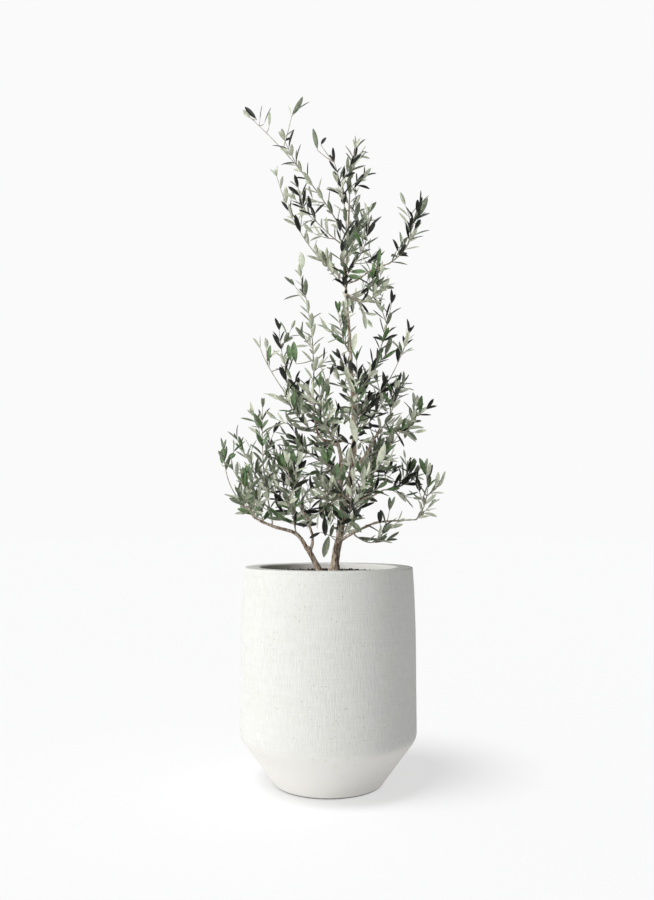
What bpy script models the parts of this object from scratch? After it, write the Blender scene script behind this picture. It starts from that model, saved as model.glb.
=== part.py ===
# A young olive tree in a round fibre-cement planter.
# Metres, +Z up. The origin is the centre of the planter's flat underside.

from math import cos, hypot, pi, radians, sin
from random import Random

import bmesh
import bpy
import numpy as np
from mathutils import Matrix, Vector

# Planter: a turned shell with a coned foot, a shoulder and a wide turned-in lip.
POT_RADIUS = 0.200
POT_HEIGHT = 0.482
FOOT_RADIUS = 0.122
FOOT_EDGE = 0.003
SHOULDER_HEIGHT = 0.105
SIDE_TOP_HEIGHT = 0.300
RIM_RADIUS = 0.1945
RIM_EDGE = 0.003
LIP_WIDTH = 0.036
LIP_DEPTH = 0.026
WALL = 0.014
FLOOR = 0.022
SOIL_DROP = 0.015
POT_STEPS = 48
SIDE_STEPS = 3
PLANTER_CREASE = radians(30)
MERGE_DISTANCE = 1e-6

# Clearance between neighbouring solids.
GAP = 0.0003

SOIL_TOP = POT_HEIGHT - SOIL_DROP
LIP_RADIUS = RIM_RADIUS - LIP_WIDTH

# The foot's cone, the width of its wall measured level, and where its inner face meets floor and side.
CONE_RUN = POT_RADIUS - FOOT_RADIUS
CONE_RISE = SHOULDER_HEIGHT - FOOT_EDGE
CONE_WALL = WALL * hypot(CONE_RUN, CONE_RISE) / CONE_RISE
INNER_FOOT_RADIUS = FOOT_RADIUS - CONE_WALL + (FLOOR - FOOT_EDGE) * CONE_RUN / CONE_RISE
INNER_SHOULDER_HEIGHT = SHOULDER_HEIGHT + (CONE_WALL - WALL) * CONE_RISE / CONE_RUN

# Base colour and roughness of each finish.
FIBRE_CEMENT = ((0.79, 0.79, 0.76), 0.85)
POTTING_SOIL = ((0.045, 0.035, 0.028), 0.95)
BARK = ((0.30, 0.20, 0.15), 0.85)
LEAF = ((0.20, 0.25, 0.17), 0.55)

# Limbs: points along the axis, radius at the foot and at the tip, the limb that carries it
# ("" stands in the soil), whether it goes on from that limb's tip, and the limbs it is cut clear of.
LIMBS = {
    "trunk": dict(
        line=[(0.012, 0.000, 0.440), (0.017, 0.000, 0.508), (0.024, -0.004, 0.543), (0.034, 0.000, 0.600)],
        girth=(0.0105, 0.0078), carrier="", onward=False, clear=[], sides=12,
    ),
    "leader": dict(
        line=[(0.034, 0.000, 0.600), (0.059, 0.012, 0.743), (0.058, 0.012, 0.874),
              (0.051, 0.005, 1.018), (0.042, 0.000, 1.151), (0.050, 0.000, 1.344)],
        girth=(0.0064, 0.0022), carrier="trunk", onward=True, clear=[], sides=8,
    ),
    "left_stem": dict(
        line=[(0.032, 0.000, 0.588), (0.027, -0.008, 0.671), (0.029, -0.014, 0.729), (0.022, -0.018, 0.769)],
        girth=(0.0056, 0.0040), carrier="trunk", onward=False, clear=["trunk", "leader"], sides=7,
    ),
    "left_bough": dict(
        line=[(0.024, -0.017, 0.762), (-0.018, -0.024, 0.780), (-0.032, -0.024, 0.822),
              (-0.036, -0.022, 0.879)],
        girth=(0.0036, 0.0020), carrier="left_stem", onward=False, clear=["left_stem"], sides=7,
    ),
    "second_stem": dict(
        line=[(-0.014, 0.005, 0.440), (-0.033, 0.002, 0.496), (-0.048, 0.000, 0.522)],
        girth=(0.0072, 0.0056), carrier="", onward=False, clear=[], sides=10,
    ),
    "arch_bough": dict(
        line=[(-0.048, 0.000, 0.522), (-0.076, -0.005, 0.558), (-0.128, -0.020, 0.575),
              (-0.168, -0.030, 0.594), (-0.187, -0.030, 0.615)],
        girth=(0.0050, 0.0022), carrier="second_stem", onward=True, clear=[], sides=7,
    ),
    "second_riser": dict(
        line=[(-0.043, 0.001, 0.514), (-0.037, 0.008, 0.545), (-0.046, 0.012, 0.580), (-0.063, 0.014, 0.618)],
        girth=(0.0040, 0.0024), carrier="second_stem", onward=False,
        clear=["second_stem", "arch_bough"], sides=7,
    ),
    "low_right_bough": dict(
        line=[(0.018, -0.001, 0.512), (0.021, -0.022, 0.535), (0.042, -0.036, 0.552), (0.064, -0.038, 0.564)],
        girth=(0.0046, 0.0034), carrier="trunk", onward=False, clear=["trunk"], sides=7,
    ),
    "right_arm": dict(
        line=[(0.064, -0.038, 0.564), (0.108, -0.036, 0.583), (0.156, -0.026, 0.588), (0.198, -0.018, 0.590)],
        girth=(0.0032, 0.0018), carrier="low_right_bough", onward=True, clear=[], sides=7,
    ),
    "right_bough": dict(
        line=[(0.041, 0.004, 0.638), (0.062, 0.012, 0.638), (0.095, 0.020, 0.643), (0.128, 0.024, 0.659)],
        girth=(0.0036, 0.0022), carrier="leader", onward=False, clear=["leader"], sides=7,
    ),
    "mid_right_bough": dict(
        line=[(0.056, 0.010, 0.712), (0.084, 0.002, 0.738), (0.106, -0.010, 0.776), (0.120, -0.014, 0.803)],
        girth=(0.0036, 0.0020), carrier="leader", onward=False, clear=["leader"], sides=7,
    ),
    "upper_right_bough": dict(
        line=[(0.042, 0.000, 1.156), (0.066, -0.006, 1.160), (0.099, -0.015, 1.180), (0.140, -0.015, 1.197)],
        girth=(0.0028, 0.0017), carrier="leader", onward=False, clear=["leader"], sides=7,
    ),
}
LIMB_STEPS = 3
LIMB_CREASE = radians(60)
COLLAR = 0.004
FLARE_RISE = 0.030
FLARE_SHARE = {"trunk": 0.55, "second_stem": 0.30}

# Foliage masses: the limb that carries the stem and how far along it (1 is its tip), the stem's tip,
# how far its middle bows off the straight line, how far shoots spread, and the number of shoots.
MASSES = {
    "foliage_top": dict(
        carrier="leader", at=1.0, tip=(0.074, 0.000, 1.478), bow=(-0.004, 0.000, 0.000),
        spread=0.07, shoots=2),
    "foliage_top_left": dict(
        carrier="leader", at=0.86, tip=(0.014, -0.035, 1.440), bow=(0.010, -0.012, 0.000),
        spread=0.07, shoots=2),
    "foliage_long_shoot": dict(
        carrier="leader", at=0.93, tip=(-0.188, -0.020, 1.558), bow=(0.012, -0.010, 0.004),
        spread=0.08, shoots=2, fork=(0.72, (-0.074, -0.022, 1.580))),
    "foliage_high_left": dict(
        carrier="leader", at=0.818, tip=(-0.128, 0.045, 1.440), bow=(-0.016, 0.010, -0.020),
        spread=0.07, shoots=3),
    "foliage_upper_left": dict(
        carrier="leader", at=0.90, tip=(-0.076, -0.075, 1.330), bow=(-0.004, -0.004, -0.004),
        spread=0.07, shoots=2),
    "foliage_upper_right": dict(
        carrier="upper_right_bough", at=1.0, tip=(0.184, -0.020, 1.340), bow=(0.030, 0.000, -0.012),
        spread=0.06, shoots=2, fork=(0.50, (0.212, -0.036, 1.300))),
    "foliage_hanging": dict(
        carrier="leader", at=0.768, tip=(0.120, -0.080, 1.150), bow=(0.008, -0.012, -0.042),
        spread=0.05, shoots=2),
    "foliage_inner_right": dict(
        carrier="leader", at=0.84, tip=(0.094, -0.048, 1.278), bow=(0.010, -0.010, -0.008),
        spread=0.06, shoots=2),
    "foliage_upper_back": dict(
        carrier="leader", at=0.88, tip=(0.070, 0.110, 1.420), bow=(0.006, 0.020, -0.020),
        spread=0.08, shoots=3),
    "foliage_upper_front": dict(
        carrier="leader", at=0.78, tip=(0.026, -0.125, 1.235), bow=(0.000, -0.020, -0.020),
        spread=0.07, shoots=3),
    "foliage_back_right": dict(
        carrier="leader", at=0.76, tip=(0.130, 0.105, 1.255), bow=(0.010, 0.018, -0.020),
        spread=0.08, shoots=3),
    "foliage_tall_left": dict(
        carrier="left_bough", at=1.0, tip=(-0.066, -0.020, 1.165), bow=(0.012, 0.000, 0.000),
        spread=0.05, shoots=2),
    "foliage_side_left": dict(
        carrier="left_bough", at=0.74, tip=(-0.158, -0.055, 0.984), bow=(-0.010, -0.006, -0.014),
        spread=0.06, shoots=3),
    "foliage_mid_left": dict(
        carrier="left_bough", at=0.90, tip=(-0.120, 0.040, 1.050), bow=(-0.016, 0.008, -0.014),
        spread=0.06, shoots=2),
    "foliage_low_left_twig": dict(
        carrier="left_bough", at=0.45, tip=(-0.104, -0.100, 0.885), bow=(-0.006, -0.010, -0.012),
        spread=0.06, shoots=3),
    "foliage_stem_twig": dict(
        carrier="leader", at=0.56, tip=(0.024, -0.045, 1.070), bow=(-0.004, -0.010, -0.010),
        spread=0.05, shoots=1),
    "foliage_tall_right": dict(
        carrier="leader", at=0.417, tip=(0.152, 0.020, 1.110), bow=(0.010, 0.004, -0.012),
        spread=0.06, shoots=3),
    "foliage_side_right": dict(
        carrier="leader", at=0.33, tip=(0.186, -0.045, 1.020), bow=(0.010, -0.010, -0.016),
        spread=0.06, shoots=3),
    "foliage_right_tuft": dict(
        carrier="mid_right_bough", at=0.86, tip=(0.156, -0.060, 0.905), bow=(0.010, -0.010, -0.006),
        spread=0.06, shoots=3),
    "foliage_right_reach": dict(
        carrier="mid_right_bough", at=1.0, tip=(0.210, 0.008, 0.855), bow=(0.020, 0.002, -0.022),
        spread=0.05, shoots=2),
    "foliage_mid_front": dict(
        carrier="leader", at=0.27, tip=(0.062, -0.130, 0.940), bow=(0.004, -0.025, -0.030),
        spread=0.07, shoots=4),
    "foliage_mid_front_left": dict(
        carrier="left_stem", at=1.0, tip=(-0.020, -0.125, 0.880), bow=(-0.006, -0.020, -0.025),
        spread=0.07, shoots=4),
    "foliage_mid_back": dict(
        carrier="leader", at=0.36, tip=(0.050, 0.140, 0.985), bow=(0.004, 0.024, -0.030),
        spread=0.08, shoots=4),
    "foliage_mid_back_left": dict(
        carrier="leader", at=0.24, tip=(-0.050, 0.115, 0.920), bow=(-0.010, 0.024, -0.024),
        spread=0.08, shoots=4),
    "foliage_mid_back_right": dict(
        carrier="leader", at=0.30, tip=(0.140, 0.120, 0.930), bow=(0.010, 0.020, -0.024),
        spread=0.08, shoots=4),
    "foliage_arch_tip": dict(
        carrier="arch_bough", at=1.0, tip=(-0.243, -0.030, 0.750), bow=(-0.012, 0.000, -0.010),
        spread=0.05, shoots=3),
    "foliage_arch_low": dict(
        carrier="arch_bough", at=0.72, tip=(-0.186, -0.085, 0.685), bow=(-0.006, -0.014, -0.014),
        spread=0.06, shoots=3),
    "foliage_arch_riser": dict(
        carrier="arch_bough", at=0.52, tip=(-0.154, -0.020, 0.850), bow=(-0.010, 0.012, 0.000),
        spread=0.06, shoots=3),
    "foliage_arch_back": dict(
        carrier="arch_bough", at=0.62, tip=(-0.190, 0.080, 0.700), bow=(0.000, 0.020, -0.014),
        spread=0.07, shoots=3),
    "foliage_left_long": dict(
        carrier="second_riser", at=0.80, tip=(-0.220, 0.045, 0.782), bow=(-0.010, 0.006, -0.012),
        spread=0.06, shoots=3),
    "foliage_left_pale": dict(
        carrier="second_riser", at=1.0, tip=(-0.126, 0.016, 0.756), bow=(0.006, 0.000, 0.004),
        spread=0.05, shoots=2),
    "foliage_left_front": dict(
        carrier="arch_bough", at=0.26, tip=(-0.090, -0.120, 0.710), bow=(0.000, -0.022, -0.018),
        spread=0.07, shoots=4),
    "foliage_left_inner": dict(
        carrier="left_stem", at=0.55, tip=(-0.078, -0.062, 0.790), bow=(-0.012, -0.004, -0.012),
        spread=0.06, shoots=3),
    "foliage_left_back": dict(
        carrier="second_riser", at=0.60, tip=(-0.110, 0.125, 0.755), bow=(0.000, 0.026, -0.022),
        spread=0.08, shoots=4),
    "foliage_low_front": dict(
        carrier="left_stem", at=0.22, tip=(-0.010, -0.115, 0.660), bow=(-0.004, -0.020, -0.018),
        spread=0.06, shoots=3),
    "foliage_low_back": dict(
        carrier="leader", at=0.07, tip=(0.000, 0.140, 0.725), bow=(0.000, 0.026, -0.024),
        spread=0.08, shoots=4),
    "foliage_dipping_right": dict(
        carrier="low_right_bough", at=0.90, tip=(0.136, -0.080, 0.610), bow=(0.010, -0.012, -0.038),
        spread=0.04, shoots=2),
    "foliage_pale_right": dict(
        carrier="low_right_bough", at=0.78, tip=(0.164, -0.075, 0.790), bow=(-0.022, -0.014, -0.014),
        spread=0.06, shoots=4),
    "foliage_low_right_front": dict(
        carrier="low_right_bough", at=0.50, tip=(0.056, -0.145, 0.710), bow=(0.004, -0.022, -0.026),
        spread=0.07, shoots=4),
    "foliage_right_end": dict(
        carrier="right_arm", at=1.0, tip=(0.232, -0.015, 0.690), bow=(0.008, 0.000, -0.008),
        spread=0.05, shoots=2),
    "foliage_right_riser": dict(
        carrier="right_bough", at=1.0, tip=(0.196, 0.030, 0.704), bow=(0.008, 0.000, -0.012),
        spread=0.06, shoots=3),
    "foliage_right_back": dict(
        carrier="right_bough", at=0.60, tip=(0.120, 0.130, 0.765), bow=(0.004, 0.026, -0.022),
        spread=0.08, shoots=4),
    "foliage_right_inner": dict(
        carrier="leader", at=0.15, tip=(0.122, 0.050, 0.780), bow=(0.010, 0.010, -0.016),
        spread=0.06, shoots=3),
}

# How far the crown reaches to the left and to the right of the planter's axis, by height.
CROWN_REACH = [
    (0.480, 0.06, 0.10), (0.560, 0.16, 0.22), (0.610, 0.215, 0.265), (0.670, 0.255, 0.270),
    (0.720, 0.275, 0.270), (0.780, 0.275, 0.230), (0.830, 0.215, 0.240), (0.880, 0.195, 0.258),
    (0.980, 0.185, 0.205), (1.040, 0.180, 0.210), (1.120, 0.135, 0.185), (1.200, 0.100, 0.205),
    (1.300, 0.110, 0.245), (1.370, 0.125, 0.245), (1.450, 0.150, 0.130), (1.520, 0.185, 0.100),
    (1.600, 0.240, 0.020), (1.650, 0.230, 0.000),
]
CROWN_LEAST_DEPTH = 0.15
CROWN_MOST_DEPTH = 0.215
CROWN_SLACK = 1.05

# Stems and shoots. A shoot leaves its stem at an angle, each turned on from the last, and lifts.
STEM_STEPS = 5
SHOOT_STEPS = 2
STEM_RADIUS = 0.0023
STEM_COLLAR = 2 * STEM_RADIUS
TWIG_RADIUS = 0.0017
TWIG_TIP_RADIUS = 0.0013
TWIG_SIDES = 3
SHOOT_ANGLE = radians(48)
TURN_PER_SHOOT = radians(137.5)
SHOOT_LIFT = 0.45
SHOOT_BOW = 0.12
SHOOT_VARIATION = 0.15
FORK_SAG = 0.004

# Shares of a stem's length between which shoots stand, and how long the first and the last of them
# are for the mass's spread.
SHOOTS_BETWEEN = (0.16, 0.88)
SHOOT_LENGTHS = (1.10, 0.55)

# Leaves stand in pairs from a share of the way along the stem or shoot, each pair a quarter turn on.
STEM_FIRST_LEAF = 0.20
SHOOT_FIRST_LEAF = 0.45
LAST_LEAF = 0.96
LEAF_SPACING = 0.054
LEAF_ANGLE = radians(43)
LEAF_TURNS = (0.0, radians(45), radians(-45))
LEAF_WOBBLE = 0.25
TIP_LEAF_ANGLE = radians(9)
TIP_LEAF_DEPTH = 0.004
LEAF_LENGTH = (0.046, 0.060)
LEAF_WIDTH_SHARE = 0.27
LEAF_WIDEST = 0.38
LEAF_THICKNESS = 0.0014
LEAF_ROOT_DEPTH = 0.0004

# Where a leaf is tested for room: shares of its length along it, and to either side at the first.
LEAF_PROBES = (0.35, 0.65, 1.0)
LEAF_EDGE_PROBE = 0.12

# Room that leaves and twigs keep to each other, to limbs, to other masses' stems and to the planter,
# and how far past its spread a mass may reach.
LEAF_CLEARANCE = 0.0055
LIMB_CLEARANCE = 0.0025
MASS_CLEARANCE = 0.0040
POT_CLEARANCE = 0.006
SPREAD_SLACK = 0.036
SEED = 41


def material(name, finish):
    colour, roughness = finish
    made = bpy.data.materials.new(name)
    made.use_nodes = True
    shader = made.node_tree.nodes["Principled BSDF"]
    shader.inputs["Base Color"].default_value = (*colour, 1.0)
    shader.inputs["Roughness"].default_value = roughness
    return made


def add_object(name, mesh_data, finish):
    made = bpy.data.objects.new(name, mesh_data)
    made.data.materials.append(finish)
    bpy.context.scene.collection.objects.link(made)
    return made


def turned(name, profile, finish):
    """A solid turned about Z from a profile of (radius, height) that starts and ends on the axis."""
    bm = bmesh.new()
    points = [bm.verts.new((radius, 0.0, height)) for radius, height in profile]
    edges = [bm.edges.new(pair) for pair in zip(points, points[1:])]
    bmesh.ops.spin(
        bm, geom=points + edges, cent=(0, 0, 0), axis=(0, 0, 1), angle=2 * pi, steps=POT_STEPS,
        use_merge=True)
    bmesh.ops.remove_doubles(bm, verts=bm.verts, dist=MERGE_DISTANCE)
    bmesh.ops.recalc_face_normals(bm, faces=bm.faces)
    data = bpy.data.meshes.new(name)
    bm.to_mesh(data)
    bm.free()
    data.shade_smooth()
    data.set_sharp_from_angle(angle=PLANTER_CREASE)
    return add_object(name, data, finish)


def side_profile():
    """The outer side from the shoulder to the rim: upright at first, then drawn in along an even curve."""
    heights = [SHOULDER_HEIGHT, SIDE_TOP_HEIGHT]
    rise = POT_HEIGHT - RIM_EDGE - SIDE_TOP_HEIGHT
    heights += [SIDE_TOP_HEIGHT + rise * step / SIDE_STEPS for step in range(1, SIDE_STEPS + 1)]
    inward = POT_RADIUS - RIM_RADIUS
    return [(POT_RADIUS - inward * (max(h - SIDE_TOP_HEIGHT, 0) / rise) ** 2, h) for h in heights]


def build_planter(finish):
    profile = [(0.0, 0.0), (FOOT_RADIUS - FOOT_EDGE, 0.0), (FOOT_RADIUS, FOOT_EDGE)]
    profile += side_profile()
    profile += [
        (RIM_RADIUS - RIM_EDGE, POT_HEIGHT),
        (LIP_RADIUS + RIM_EDGE, POT_HEIGHT),
        (LIP_RADIUS, POT_HEIGHT - RIM_EDGE),
        (LIP_RADIUS, POT_HEIGHT - LIP_DEPTH),
        (RIM_RADIUS - WALL, POT_HEIGHT - LIP_DEPTH - WALL),
        (POT_RADIUS - WALL, SIDE_TOP_HEIGHT),
        (POT_RADIUS - WALL, INNER_SHOULDER_HEIGHT),
        (INNER_FOOT_RADIUS, FLOOR),
        (0.0, FLOOR),
    ]
    return turned("planter", profile, finish)


def build_soil(finish):
    slack = GAP * 2
    profile = [
        (0.0, FLOOR + GAP),
        (INNER_FOOT_RADIUS - slack, FLOOR + GAP),
        (POT_RADIUS - WALL - slack, INNER_SHOULDER_HEIGHT),
        (POT_RADIUS - WALL - slack, SIDE_TOP_HEIGHT),
        (RIM_RADIUS - WALL - slack, POT_HEIGHT - LIP_DEPTH - WALL - slack),
        (LIP_RADIUS - slack, POT_HEIGHT - LIP_DEPTH - slack),
        (LIP_RADIUS - slack, SOIL_TOP),
        (0.0, SOIL_TOP),
    ]
    return turned("soil", profile, finish)


def smooth_line(points, steps):
    """A smooth curve through the points, with this many steps between each two."""
    ends = [2 * points[0] - points[1]] + points + [2 * points[-1] - points[-2]]
    line = []
    for before, start, end, after in zip(ends, ends[1:], ends[2:], ends[3:]):
        for step in range(steps):
            t = step / steps
            line.append(0.5 * (
                2 * start + (end - before) * t
                + (2 * before - 5 * start + 4 * end - after) * t ** 2
                + (3 * start - before - 3 * end + after) * t ** 3))
    return line + [points[-1]]


def bowed_line(start, end, bow, steps):
    """A curve from start to end whose middle stands off the straight line by bow."""
    return [
        start.lerp(end, step / steps) + bow * 4 * (step / steps) * (1 - step / steps)
        for step in range(steps + 1)]


def directions(line):
    """The direction of the line at each of its points."""
    pairs = zip([line[0]] + line[:-1], line[1:] + [line[-1]])
    return [(after - before).normalized() for before, after in pairs]


def swept(name, line, radii, sides):
    """A closed tube along a line, with a radius at each of its points."""
    bm = bmesh.new()
    heading = directions(line)
    side = heading[0].orthogonal().normalized()
    rings = []
    for centre, ahead, radius in zip(line, heading, radii):
        side = (side - ahead * side.dot(ahead)).normalized()
        other = ahead.cross(side)
        turns = [2 * pi * corner / sides for corner in range(sides)]
        rings.append([bm.verts.new(centre + radius * (side * cos(a) + other * sin(a))) for a in turns])
    for low, high in zip(rings, rings[1:]):
        for corner in range(sides):
            after = (corner + 1) % sides
            bm.faces.new((low[corner], low[after], high[after], high[corner]))
    bm.faces.new(rings[0][::-1])
    bm.faces.new(rings[-1])
    data = bpy.data.meshes.new(name)
    bm.to_mesh(data)
    bm.free()
    return data


def remove(made):
    data = made.data
    bpy.data.objects.remove(made)
    bpy.data.meshes.remove(data)


def apply_boolean(made, operation, others, solver):
    """Joins or cuts an object with others, which are removed with their collection."""
    group = bpy.data.collections.new("operands")
    bpy.context.scene.collection.children.link(group)
    for other in others:
        bpy.context.scene.collection.objects.unlink(other)
        group.objects.link(other)
    boolean = made.modifiers.new("boolean", "BOOLEAN")
    boolean.operation = operation
    boolean.operand_type = "COLLECTION"
    boolean.collection = group
    boolean.solver = solver
    graph = bpy.context.evaluated_depsgraph_get()
    result = bpy.data.meshes.new_from_object(made.evaluated_get(graph))
    made.modifiers.remove(boolean)
    before = made.data
    result.name = made.name
    made.data = result
    bpy.data.meshes.remove(before)
    for other in others:
        remove(other)
    bpy.data.collections.remove(group)


def limb_radii(name, line):
    foot, tip = LIMBS[name]["girth"]
    last = len(line) - 1
    flare = FLARE_SHARE.get(name, 0.0)
    radii = []
    for index, point in enumerate(line):
        radius = foot + (tip - foot) * index / last
        above = max(point.z - SOIL_TOP, 0.0)
        radii.append(radius * (1 + flare * max(1 - above / FLARE_RISE, 0.0) ** 2))
    return radii


def limb_line(name):
    """The limb's axis. One that goes on from its carrier's tip starts just clear of it."""
    limb = LIMBS[name]
    line = smooth_line([Vector(point) for point in limb["line"]], LIMB_STEPS)
    if limb["onward"]:
        ahead = directions(limb_line(limb["carrier"]))[-1]
        line[:1] = [line[0] + ahead * GAP, line[0] + ahead * COLLAR]
    return line


def cut_flat(made, height):
    """Cuts an object flat at a height and keeps what is above."""
    bm = bmesh.new()
    bm.from_mesh(made.data)
    everything = bm.verts[:] + bm.edges[:] + bm.faces[:]
    bmesh.ops.bisect_plane(bm, geom=everything, plane_co=(0, 0, height), plane_no=(0, 0, 1), clear_inner=True)
    bmesh.ops.holes_fill(bm, edges=[edge for edge in bm.edges if edge.is_boundary])
    bmesh.ops.recalc_face_normals(bm, faces=bm.faces)
    bm.to_mesh(made.data)
    bm.free()


def build_limb(name, finish):
    limb = LIMBS[name]
    line = limb_line(name)
    radii = limb_radii(name, line)
    made = add_object(name, swept(name, line, radii, limb["sides"]), finish)
    made.data.shade_smooth()
    made.data.set_sharp_from_angle(angle=LIMB_CREASE)
    if not limb["carrier"]:
        cut_flat(made, SOIL_TOP + GAP)
    cutters = []
    for other in limb["clear"]:
        around = limb_line(other)
        wide = [radius + 2 * GAP for radius in limb_radii(other, around)]
        clearance = swept("clearance", around, wide, LIMBS[other]["sides"])
        cutters.append(add_object("clearance", clearance, finish))
    if cutters:
        apply_boolean(made, "DIFFERENCE", cutters, "EXACT")
        keep_largest(made)
    return made


def keep_largest(made):
    """Drops all but the largest of an object's separate pieces."""
    bm = bmesh.new()
    bm.from_mesh(made.data)
    left = set(bm.verts)
    pieces = []
    while left:
        found = [left.pop()]
        for vertex in found:
            near = {edge.other_vert(vertex) for edge in vertex.link_edges} & left
            left -= near
            found.extend(near)
        pieces.append(found)
    pieces.sort(key=len)
    scraps = [vertex for piece in pieces[:-1] for vertex in piece]
    bmesh.ops.delete(bm, geom=scraps, context="VERTS")
    bm.to_mesh(made.data)
    bm.free()


def line_at(line, share):
    """The point a share of the way along a line, and the index of the point before it."""
    place = share * (len(line) - 1)
    index = min(int(place), len(line) - 2)
    return line[index].lerp(line[index + 1], place - index), index


def stem_line(name):
    """A mass's stem. It starts on the limb's tip or side, the gap clear of it, and bows to its own tip."""
    mass = MASSES[name]
    limb = limb_line(mass["carrier"])
    radii = limb_radii(mass["carrier"], limb)
    tip = Vector(mass["tip"])
    bow = Vector(mass["bow"])
    if mass["at"] >= 1.0:
        outward = directions(limb)[-1]
        start = limb[-1] + outward * GAP
    else:
        middle, index = line_at(limb, mass["at"])
        along = (limb[index + 1] - limb[index]).normalized()
        aim = (tip - middle) * 0.5 + 2 * bow
        outward = (aim - along * aim.dot(along)).normalized()
        start = middle + outward * (radii[index] + GAP)
    collar = start + outward * STEM_COLLAR
    return [start] + bowed_line(collar, tip, bow, STEM_STEPS)


class Space:
    """What a growing mass has to keep clear of."""

    def __init__(self):
        self.stems = {name: own_points(name) for name in MASSES}
        self.limbs = {name: dense(limb_line(name)) for name in LIMBS}
        self.girths = {name: max(limb_radii(name, limb_line(name))) for name in LIMBS}

    def free(self, name, points):
        """Whether points are nearer the mass's own stem than any other, off limbs and in the crown."""
        for point in points:
            own = distance(self.stems[name], point)
            if own > MASSES[name]["spread"] + SPREAD_SLACK:
                return False
            for other, stem in self.stems.items():
                if other != name and distance(stem, point) < own + MASS_CLEARANCE:
                    return False
            for limb, line in self.limbs.items():
                if distance(line, point) < self.girths[limb] + LIMB_CLEARANCE:
                    return False
            if point.z < POT_HEIGHT + POT_CLEARANCE or not in_crown(point):
                return False
        return True


def in_crown(point):
    """Whether a point is inside the crown's reach: an ellipse at each height, as deep as it is wide."""
    heights, lefts, rights = zip(*CROWN_REACH)
    left = np.interp(point.z, heights, lefts)
    right = np.interp(point.z, heights, rights)
    half = (left + right) / 2
    across = (point.x - (right - left) / 2) / half
    deep = point.y / min(max(half, CROWN_LEAST_DEPTH), CROWN_MOST_DEPTH)
    return across ** 2 + deep ** 2 < CROWN_SLACK


def dense(line, steps=5):
    """Points close together along a line, as an array."""
    filled = [a.lerp(b, step / steps) for a, b in zip(line, line[1:]) for step in range(steps)]
    return np.array([tuple(point) for point in filled + [line[-1]]])


def fork_line(name, stem):
    """The one larger shoot that a mass's stem divides into, or nothing."""
    if "fork" not in MASSES[name]:
        return []
    share, end = MASSES[name]["fork"]
    start, _ = line_at(stem, share)
    return bowed_line(start, Vector(end), Vector((0, 0, -FORK_SAG)), SHOOT_STEPS)


def own_points(name):
    """Points along a mass's stem and fork, which its own space lies around."""
    stem = stem_line(name)
    fork = fork_line(name, stem)
    points = dense(stem)
    return np.concatenate([points, dense(fork)]) if fork else points


def distance(points, point):
    return float(np.sqrt(((points - np.array(point)) ** 2).sum(axis=1).min()))


def branch_direction(ahead, turn, angle):
    """A direction at an angle to the one ahead, turned about it."""
    side = ahead.cross(Vector((0.0, 0.0, 1.0)))
    if side.length < 0.1:
        side = ahead.cross(Vector((0.0, 1.0, 0.0)))
    outward = Matrix.Rotation(turn, 3, ahead) @ side.normalized()
    return (ahead * cos(angle) + outward * sin(angle)).normalized()


def shoot_line(start, heading, length):
    """A side shoot, which lifts towards the light as it grows."""
    lifted = (heading + Vector((0, 0, SHOOT_LIFT))).normalized()
    end = start + (heading + lifted).normalized() * length
    bow = (heading - lifted) * length * SHOOT_BOW
    return bowed_line(start, end, bow, SHOOT_STEPS)


def leaf_mesh(root, ahead, across, length):
    """A blade with a flat under face and a ridge along its top: root, left edge, right edge, ridge, tip."""
    up = ahead.cross(across)
    half = length * LEAF_WIDTH_SHARE / 2
    middle = root + ahead * length * LEAF_WIDEST
    ridge = middle + up * LEAF_THICKNESS
    points = [root, middle - across * half, middle + across * half, ridge, root + ahead * length]
    faces = [(0, 2, 1), (0, 1, 3), (0, 3, 2), (4, 1, 2), (4, 3, 1), (4, 2, 3)]
    data = bpy.data.meshes.new("leaf")
    data.from_pydata(points, [], faces)
    return data


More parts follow.
